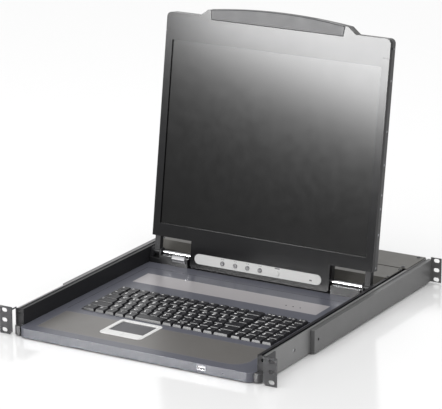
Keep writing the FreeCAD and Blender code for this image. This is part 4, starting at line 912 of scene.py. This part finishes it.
@dataclass
class DrawerShell:
    """Drawer sides, floor, end caps, hinge bridge and rear cover."""

    ribs: int = 8
    rib_start: float = 3.0 * MM
    rib_pitch: float = 2.6 * MM
    rib_height: float = 6.3 * MM
    rib_setback: float = 0.9 * MM
    rib_lean: float = -0.42
    screw_head: float = 2.1 * MM
    screw_height: float = 1.4 * MM
    screw_turn: float = 0.4

    def build(self) -> None:
        """Makes the drawer's shell."""
        Workshop.eased_nodes(
            "drawer",
            ("drawer_side_left", Finishes.BLACK_STEEL, "black_steel", 0.3, 2),
            ("drawer_side_right", Finishes.BLACK_STEEL, "black_steel", 0.3, 2),
            ("tray_bottom_plate", Finishes.BLACK_STEEL, "black_steel", 0.3, 2),
            ("rail_end_caps", Finishes.CAP, "inlet_plastic", 0.8, 3),
            ("hinge_platform", Finishes.BLACK_PLASTIC, "black_steel", 0.5, 2),
            ("hinge_lugs", Finishes.BLACK_STEEL, "black_steel", 0.4, 2),
            ("hinge_shafts", Finishes.SHAFT, "shaft_steel", 0.3, 2),
            ("drawer_rear_cover", Finishes.COVER_STEEL, "black_steel", 0.3, 2),
        )
        Workshop.eased_node("release_lever", Finishes.LEVER, "release_lever", "lever_plastic", 0.5 * MM)
        Workshop.dress("display_driver_board", Finishes.BOARD)
        self.lever_ribs()
        head, height, turn = self.screw_head, self.screw_height, self.screw_turn
        finish = Finishes.BLACK_SCREW
        screw_heads("drawer_screws", "drawer", finish, head, height, turn, sideways=False)

    def lever_ribs(self) -> None:
        """Thumb ribs on the lever's nose."""
        low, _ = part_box("release_lever")
        rib = bmesh.new()
        Workshop.block(rib, (-0.35 * MM, -0.25 * MM, 0.0), (0.35 * MM, 0.25 * MM, 3.2 * MM))
        template = Workshop.eased(rib, 0.15 * MM, 2)
        places = []
        for step in range(self.ribs):
            x = low.x + self.rib_start + step * self.rib_pitch
            foot = Vector((x, low.y + self.rib_setback, low.z + self.rib_height))
            places.append((foot, (self.rib_lean, 0.0, 0.0)))
        mesh = Repeater(template, Finishes.LEVER).mesh(places)
        Workshop.piece("release_lever_ribs", mesh, Finishes.LEVER, "release_lever", "lever_plastic")


@dataclass
class Tray:
    """Tray top with its palm sheet, touchpad, indicators and front socket."""

    top: float = field(default_factory=lambda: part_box("tray_top_cover")[1].z)
    nose: float = field(default_factory=lambda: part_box("tray_top_cover")[0].y)
    lock_lamps: tuple[float, ...] = (98.0 * MM, 110.5 * MM, 123.0 * MM)
    lock_lamp_row: float = 292.0 * MM
    front_lamp: tuple[float, float] = (130.4 * MM, -15.6 * MM)
    front_lens: tuple[float, float] = (159.5 * MM, 173.3 * MM)
    front_lens_heights: tuple[float, float] = (-16.1 * MM, -14.2 * MM)

    def build(self) -> None:
        """Makes the tray's pieces."""
        Workshop.eased_nodes(
            "drawer",
            ("tray_top_cover", Finishes.TRAY, "tray_plastic", 1.0, 3),
            ("palm_rest_panel", Finishes.PALM, "palm_sheet", 0.15, 1),
            ("indicator_panel", Finishes.INDICATOR, "indicator_film", 0.15, 1),
            ("keyboard_base_plate", Finishes.BLACK_STEEL, "slide_steel", 0.2, 1),
            ("touchpad_frame", Finishes.WHITE, "white_plastic", 0.5, 3),
            ("touchpad_surface", Finishes.PAD, "pad_film", 0.2, 2),
            ("front_usb_port", Finishes.PORT_METAL, "port_metal", 0.15, 1),
        )
        for side in ("left", "right"):
            button = f"touchpad_button_{side}"
            Workshop.eased_node(button, Finishes.WHITE, button, "white_plastic", 0.4 * MM, 3)
        self.recess_line()
        self.socket_inside()
        self.lamps()

    def socket_inside(self) -> None:
        """Dark inside of the front socket, set back from its mouth."""
        low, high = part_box("front_usb_port")
        wall, setback, depth = 1.0 * MM, 1.0 * MM, 3.0 * MM
        inside = bmesh.new()
        Workshop.block(
            inside,
            (low.x + wall, low.y + setback, low.z + wall),
            (high.x - wall, low.y + setback + depth, high.z - wall),
        )
        mesh = Workshop.eased(inside, 0.1 * MM, 1)
        Workshop.piece("front_socket_inside", mesh, Finishes.BLACK_PLASTIC, "drawer", "port_metal")

    def recess_line(self) -> None:
        """A thin dark strip of painted shade for the fine groove line that runs round the working area of
        the tray.
        """
        line = bmesh.new()
        half, width = 190.0 * MM, 0.7 * MM
        front, rear = 110.5 * MM, 350.0 * MM
        low, high = self.top + 0.005 * MM, self.top + 0.05 * MM
        Workshop.block(line, (-half, front, low), (-half + width, rear, high))
        Workshop.block(line, (half - width, front, low), (half, rear, high))
        Workshop.block(line, (-half, rear - width, low), (half, rear, high))
        mesh = Workshop.finished(line, "groove")
        # The strip is painted shade laid on the tray's top, not a cut groove.
        Workshop.piece("tray_groove_line", mesh, Finishes.SEAM_SHADE, "drawer", "tray_plastic")

    def lamps(self) -> None:
        """Lock lamps on the indicator strip and the lamps on the nose."""
        lamps = bmesh.new()
        skirt = [(0, -0.2 * MM), (1.3 * MM, -0.2 * MM), (1.3 * MM, 0.15 * MM)]
        dome = [*skirt, (0.8 * MM, 0.3 * MM), (0, 0.38 * MM)]
        for x in self.lock_lamps:
            place = Matrix.Translation((x, self.lock_lamp_row, self.top))
            Workshop.turned(lamps, dome, place, 16)
        mesh = Workshop.finished(lamps, "lamps")
        Workshop.piece("lock_lamps", mesh, Finishes.LAMP, "drawer", "indicator_film")
        front = bmesh.new()
        outward = Matrix.Rotation(math.pi / 2, 4, "X")
        lamp_x, lamp_z = self.front_lamp
        place = Matrix.Translation((lamp_x, self.nose + 0.25 * MM, lamp_z)) @ outward
        skirt = [(0, 0), (1.7 * MM, 0), (1.7 * MM, 0.15 * MM)]
        Workshop.turned(front, [*skirt, (1.0 * MM, 0.22 * MM), (0, 0.24 * MM)], place, 20)
        left, right = self.front_lens
        foot, head = self.front_lens_heights
        Workshop.block(front, (left, self.nose + 0.02 * MM, foot), (right, self.nose + 0.3 * MM, head))
        mesh = Workshop.finished(front, "front_lenses")
        Workshop.piece("front_lenses", mesh, Finishes.LENS, "drawer", "white_plastic")


@dataclass
class Keyboard:
    """Six rows of dished keycaps with printed legends."""

    corner: float = 1.1 * MM
    taper: float = 1.3 * MM
    dish: float = 0.35 * MM
    legend_height: float = 6.0 * MM
    word_share: float = 0.52
    legends: dict[str, tuple[str, ...]] = field(
        default_factory=lambda: {
            "function_key_row": (
                "Esc", "F1", "F2", "F3", "F4", "F5", "F6", "F7", "F8", "F9", "F10", "F11", "F12", "Del",
                "Home", "End", "PgUp", "PgDn",
            ),
            "number_key_row": ("~", *"1234567890-=", "Bksp", "Num", "/", "*", "-"),
            "upper_letter_key_row": ("Tab", *"QWERTYUIOP[]", "\\", "7", "8", "9", "+"),
            "home_key_row": ("Caps", *"ASDFGHJKL;'", "Enter", "4", "5", "6", "+"),
            "shift_key_row": ("Shift", *"ZXCVBNM,./", "^", "Shift", "1", "2", "3", "Ent"),
            "bottom_key_row": (
                "Ctrl", "Fn", "Alt", "`", "\\", "", "Alt", "Menu", "<", "v", ">",
                "Ins", "0", "00", ".", "Ent",
            ),
        }
    )

    def build(self) -> None:
        """Makes the keycaps and the legends of every row."""
        for row, words in self.legends.items():
            caps = Workshop.islands(row)
            self.caps(row, caps)
            self.words(row, caps, words)

    def ring(self, low: Vector, high: Vector, inset: float, corner: float) -> list[tuple[float, float]]:
        """Points round a rounded rectangle.

        Args:
            low: The cap's lowest corner.
            high: The cap's highest corner.
            inset: How far the rectangle lies inside the cap's outline.
            corner: Its corner radius.

        Returns:
            (x, y) points, four to each corner.
        """
        points = []
        left, right = low.x + inset + corner, high.x - inset - corner
        front, rear = low.y + inset + corner, high.y - inset - corner
        centres = ((right, rear), (left, rear), (left, front), (right, front))
        for turn, (centre_x, centre_y) in enumerate(centres):
            for step in range(4):
                angle = math.radians(turn * 90 + step * 30)
                points.append((centre_x + corner * math.cos(angle), centre_y + corner * math.sin(angle)))
        return points

    def surface(self, low: Vector, high: Vector, x: float) -> float:
        """Height of a cap's dished top above a place across it."""
        half = (high.x - low.x) / 2 - self.taper
        offset = (x - (low.x + high.x) / 2) / half
        return high.z - self.dish * max(0.0, 1.0 - offset * offset)

    def caps(self, row: str, caps: Sequence[Box]) -> None:
        """Lofts each cap from its skirt to its dished top."""
        shape = bmesh.new()
        for low, high in caps:
            levels = [
                (0.0, low.z, self.corner * 0.6),
                (self.taper * 0.8, high.z - 0.9 * MM, self.corner),
                (self.taper, high.z - 0.35 * MM, self.corner),
                (self.taper + 0.35 * MM, None, self.corner),
                (self.taper + 1.6 * MM, None, self.corner),
                (self.taper + 3.6 * MM, None, self.corner),
            ]
            rings = []
            for inset, height, corner in levels:
                ring = []
                for x, y in self.ring(low, high, inset, corner):
                    z = self.surface(low, high, x) if height is None else height
                    ring.append(shape.verts.new((x, y, z)))
                rings.append(ring)
            count = len(rings[0])
            for inner, outer in zip(rings, rings[1:]):
                for step in range(count):
                    following = (step + 1) % count
                    shape.faces.new((inner[step], inner[following], outer[following], outer[step]))
            shape.faces.new(rings[-1])
            shape.faces.new(list(reversed(rings[0])))
        mesh = Workshop.finished(shape, row)
        Workshop.piece(f"{row}_caps", mesh, Finishes.KEY, row, "key_plastic", (row,), 50.0)

    def words(self, row: str, caps: Sequence[Box], words: Sequence[str]) -> None:
        """Prints each cap's legend at its rear left corner."""
        shape = bmesh.new()
        for (low, high), word in zip(caps, words):
            if not word:
                continue
            size = self.legend_height * (1.0 if len(word) < 2 else self.word_share)
            letters = Workshop.lettering(word, size, 0.02 * MM)
            left = low.x + self.taper + 2.0 * MM
            rear = high.y - self.taper - 2.2 * MM
            for vert in letters.vertices:
                x, y = left + vert.co.x, rear + vert.co.y
                vert.co = (x, y, self.surface(low, high, x) + 0.03 * MM + vert.co.z)
            shape.from_mesh(letters)
            bpy.data.meshes.remove(letters)
        mesh = Workshop.finished(shape, f"{row}_legends")
        Workshop.piece(f"{row}_legends", mesh, Finishes.LEGEND, row, "key_plastic")


@dataclass
class Display:
    """The fold-up display: shells, screen, grip, control strip and screws."""

    plane: LidPlane = field(default_factory=LidPlane.from_record)
    front: float = -9.0 * MM
    nub_pitch: float = 3.2 * MM
    nub_radius: float = 0.75 * MM
    grip_half_width: float = 114.0 * MM
    face_step: float = 0.8 * MM
    screw_head: float = 1.9 * MM
    screw_height: float = 0.9 * MM

    def build(self) -> None:
        """Makes every piece of the display."""
        Workshop.eased_nodes(
            "lid",
            ("lid_front_bezel", Finishes.BEZEL, "lid_paint", 0.5, 2),
            ("lid_rear_cover", Finishes.LID_BACK, "lid_paint", 0.8, 3),
            ("lid_handle_grip", Finishes.GRIP, "grip_plastic", 1.2, 3),
            ("osd_strip", Finishes.STRIP, "white_plastic", 0.4, 3),
            ("hinge_arms", Finishes.BLACK_STEEL, "black_steel", 0.4, 2),
        )
        Workshop.dress("lcd_panel", Finishes.SCREEN)
        for number in range(1, 5):
            name = f"osd_button_{number}"
            Workshop.eased_node(name, Finishes.GREY_BUTTON, name, "button_grey", 0.2 * MM)
        power = "osd_power_button"
        Workshop.eased_node(power, Finishes.STRIP, power, "white_plastic", 0.2 * MM)
        for side in ("left", "right"):
            catch = f"lid_catch_{side}"
            Workshop.eased_node(catch, Finishes.CATCH_STEEL, catch, "screw_steel", 0.3 * MM)
        head, height = self.screw_head, self.screw_height
        screw_heads("lid_screws", "lid", Finishes.SCREW_STEEL, head, height, domed=False, sideways=True)
        self.nubs()
        self.marks()

    def grip_top(self, x: float) -> float:
        """Height of the grip's arched top at a place across it."""
        side, crown, half = 404.8 * MM, 412.6 * MM, 120.8 * MM
        return side + (crown - side) * max(0.0, 1.0 - (x / half) ** 2)

    def nubs(self) -> None:
        """Rows of small round nubs on the grip, following its arch."""
        nub = bmesh.new()
        profile = [(self.nub_radius, -0.1 * MM), (self.nub_radius * 0.75, 0.22 * MM), (0, 0.34 * MM)]
        Workshop.turned(nub, profile, Matrix.Identity(4), 8)
        template = Workshop.finished(nub, "nub")
        out = self.front - self.face_step
        places = []
        columns = int(self.grip_half_width * 2 / self.nub_pitch)
        for column in range(columns + 1):
            x = -self.grip_half_width + column * self.nub_pitch
            bottom, top = 392.2 * MM, self.grip_top(x) - 3.2 * MM
            rows = max(2, int((top - bottom) / (self.nub_pitch * 0.9)))
            for row in range(rows + 1):
                up = bottom + (top - bottom) * row / rows
                places.append((self.plane.at(x, out, up), self.plane.facing()))
        mesh = Repeater(template, Finishes.GRIP).mesh(places)
        Workshop.piece("grip_nubs", mesh, Finishes.GRIP, "lid", "grip_plastic")

    def marks(self) -> None:
        """Printed label and small marks on the control strip, and the small lens at its right end."""
        shape = bmesh.new()
        out = self.front - self.face_step
        spots = [(34.0, 6.8, 9.0, 1.9)]
        for x in (-66.4, -42.8, -20.2, 2.8):
            spots.append((x - 1.6, 5.9, 1.8, 0.8))
            spots.append((x + 1.6, 5.9, 1.8, 0.8))
        spots.append((95.0, -2.6, 4.6, 2.2))
        for x, up, width, height in spots:
            low = Vector(((x - width / 2) * MM, out - 0.03 * MM, (up - height / 2) * MM))
            high = Vector(((x + width / 2) * MM, out + 0.1 * MM, (up + height / 2) * MM))
            Workshop.block(shape, low, high)
        bmesh.ops.transform(shape, matrix=self.plane.matrix(), verts=shape.verts)
        mesh = Workshop.finished(shape, "marks")
        Workshop.piece("control_strip_marks", mesh, Finishes.PRINT, "lid", "white_plastic")


# ------------------------------------------------------------------ studio


@dataclass(frozen=True)
class Lamp:
    """One soft area light."""

    name: str
    place: Vector
    target: Vector
    size: tuple[float, float]
    power: float
    only_reflections: bool = False
    lean: float = 0.0

    def build(self) -> None:
        """Adds the light to the scene."""
        data = bpy.data.lights.new(self.name, "AREA")
        data.shape = "RECTANGLE"
        data.size, data.size_y = self.size
        data.energy = self.power
        lamp = stand(self.name, data)
        lamp.location = self.place
        lamp.rotation_mode = "QUATERNION"
        aim = (self.target - self.place).to_track_quat("-Z", "Y")
        lamp.rotation_quaternion = aim @ Matrix.Rotation(math.radians(self.lean), 3, "Z").to_quaternion()
        lamp.visible_diffuse = not self.only_reflections
        lamp.visible_camera = False


@dataclass
class Studio:
    """Camera, floor, surround and lamps."""

    azimuth: float = 29.88
    elevation: float = 16.52
    roll: float = 0.09
    camera_place: Vector = field(default_factory=lambda: Vector((1.9525, -3.1398, 1.3142)))
    lens: float = 214.89
    card_lean: float = -15.0
    floor_drop: float = 0.2 * MM
    floor_reach: float = 30.0

    def build(self) -> None:
        """Makes the camera, the floor and the lights."""
        self.camera()
        self.floor()
        self.world()
        for lamp in self.lamps():
            lamp.build()
        bpy.context.scene.view_settings.view_transform = "Standard"

    def camera(self) -> None:
        """A long-lens camera at the measured place."""
        data = bpy.data.cameras.new("camera")
        data.lens = self.lens
        data.sensor_width = 36.0
        data.clip_end = 100.0
        camera = stand("camera", data)
        turn, rise = math.radians(self.azimuth), math.radians(self.elevation)
        back = Vector((math.sin(turn) * math.cos(rise), -math.cos(turn) * math.cos(rise), math.sin(rise)))
        camera.location = self.camera_place
        aim = (-back).to_track_quat("-Z", "Y")
        camera.rotation_mode = "QUATERNION"
        camera.rotation_quaternion = aim @ Matrix.Rotation(math.radians(self.roll), 3, "Z").to_quaternion()
        bpy.context.scene.camera = camera

    def floor(self) -> None:
        """A plain pale floor just below the console."""
        level = CAD_BOX[0].z - self.floor_drop
        mesh = bpy.data.meshes.new("floor")
        reach = self.floor_reach
        corners = [(-reach, -reach), (reach, -reach), (reach, reach), (-reach, reach)]
        mesh.from_pydata([(x, y, level) for x, y in corners], [], [(0, 1, 2, 3)])
        mesh.materials.append(Finishes.FLOOR.material())
        stand("floor", mesh)

    def world(self) -> None:
        """A plain white surround."""
        world = bpy.data.worlds.new("surround")
        world.use_nodes = True
        backdrop = world.node_tree.nodes["Background"]
        backdrop.inputs[0].default_value = (1.0, 1.0, 1.0, 1.0)
        backdrop.inputs[1].default_value = 1.0
        bpy.context.scene.world = world

    def lamps(self) -> Iterable[Lamp]:
        """The soft lamps: one overhead, and one card that only shows in reflections."""
        centre = Vector((0.0, 0.3, 0.15))
        yield Lamp("overhead_softbox", Vector((-0.4, -0.2, 2.4)), centre, (1.8, 1.8), 14.0)
        screen, card = Vector((0.1, 0.42, 0.25)), Vector((-0.90, -1.63, 0.54))
        yield Lamp("screen_card", card, screen, (0.72, 0.42), 78.0, True, self.card_lean)


def main() -> None:
    """Builds the console drawer's looks, one sub-assembly after another."""
    logging.basicConfig(level=logging.INFO, format="%(message)s")
    Studio().build()
    builders: list[Callable[[], None]] = [
        Chassis().build,
        SwitchBox().build,
        DrawerShell().build,
        Tray().build,
        Keyboard().build,
        Display().build,
    ]
    for build in builders:
        build()


if __name__ == "__main__":
    main()
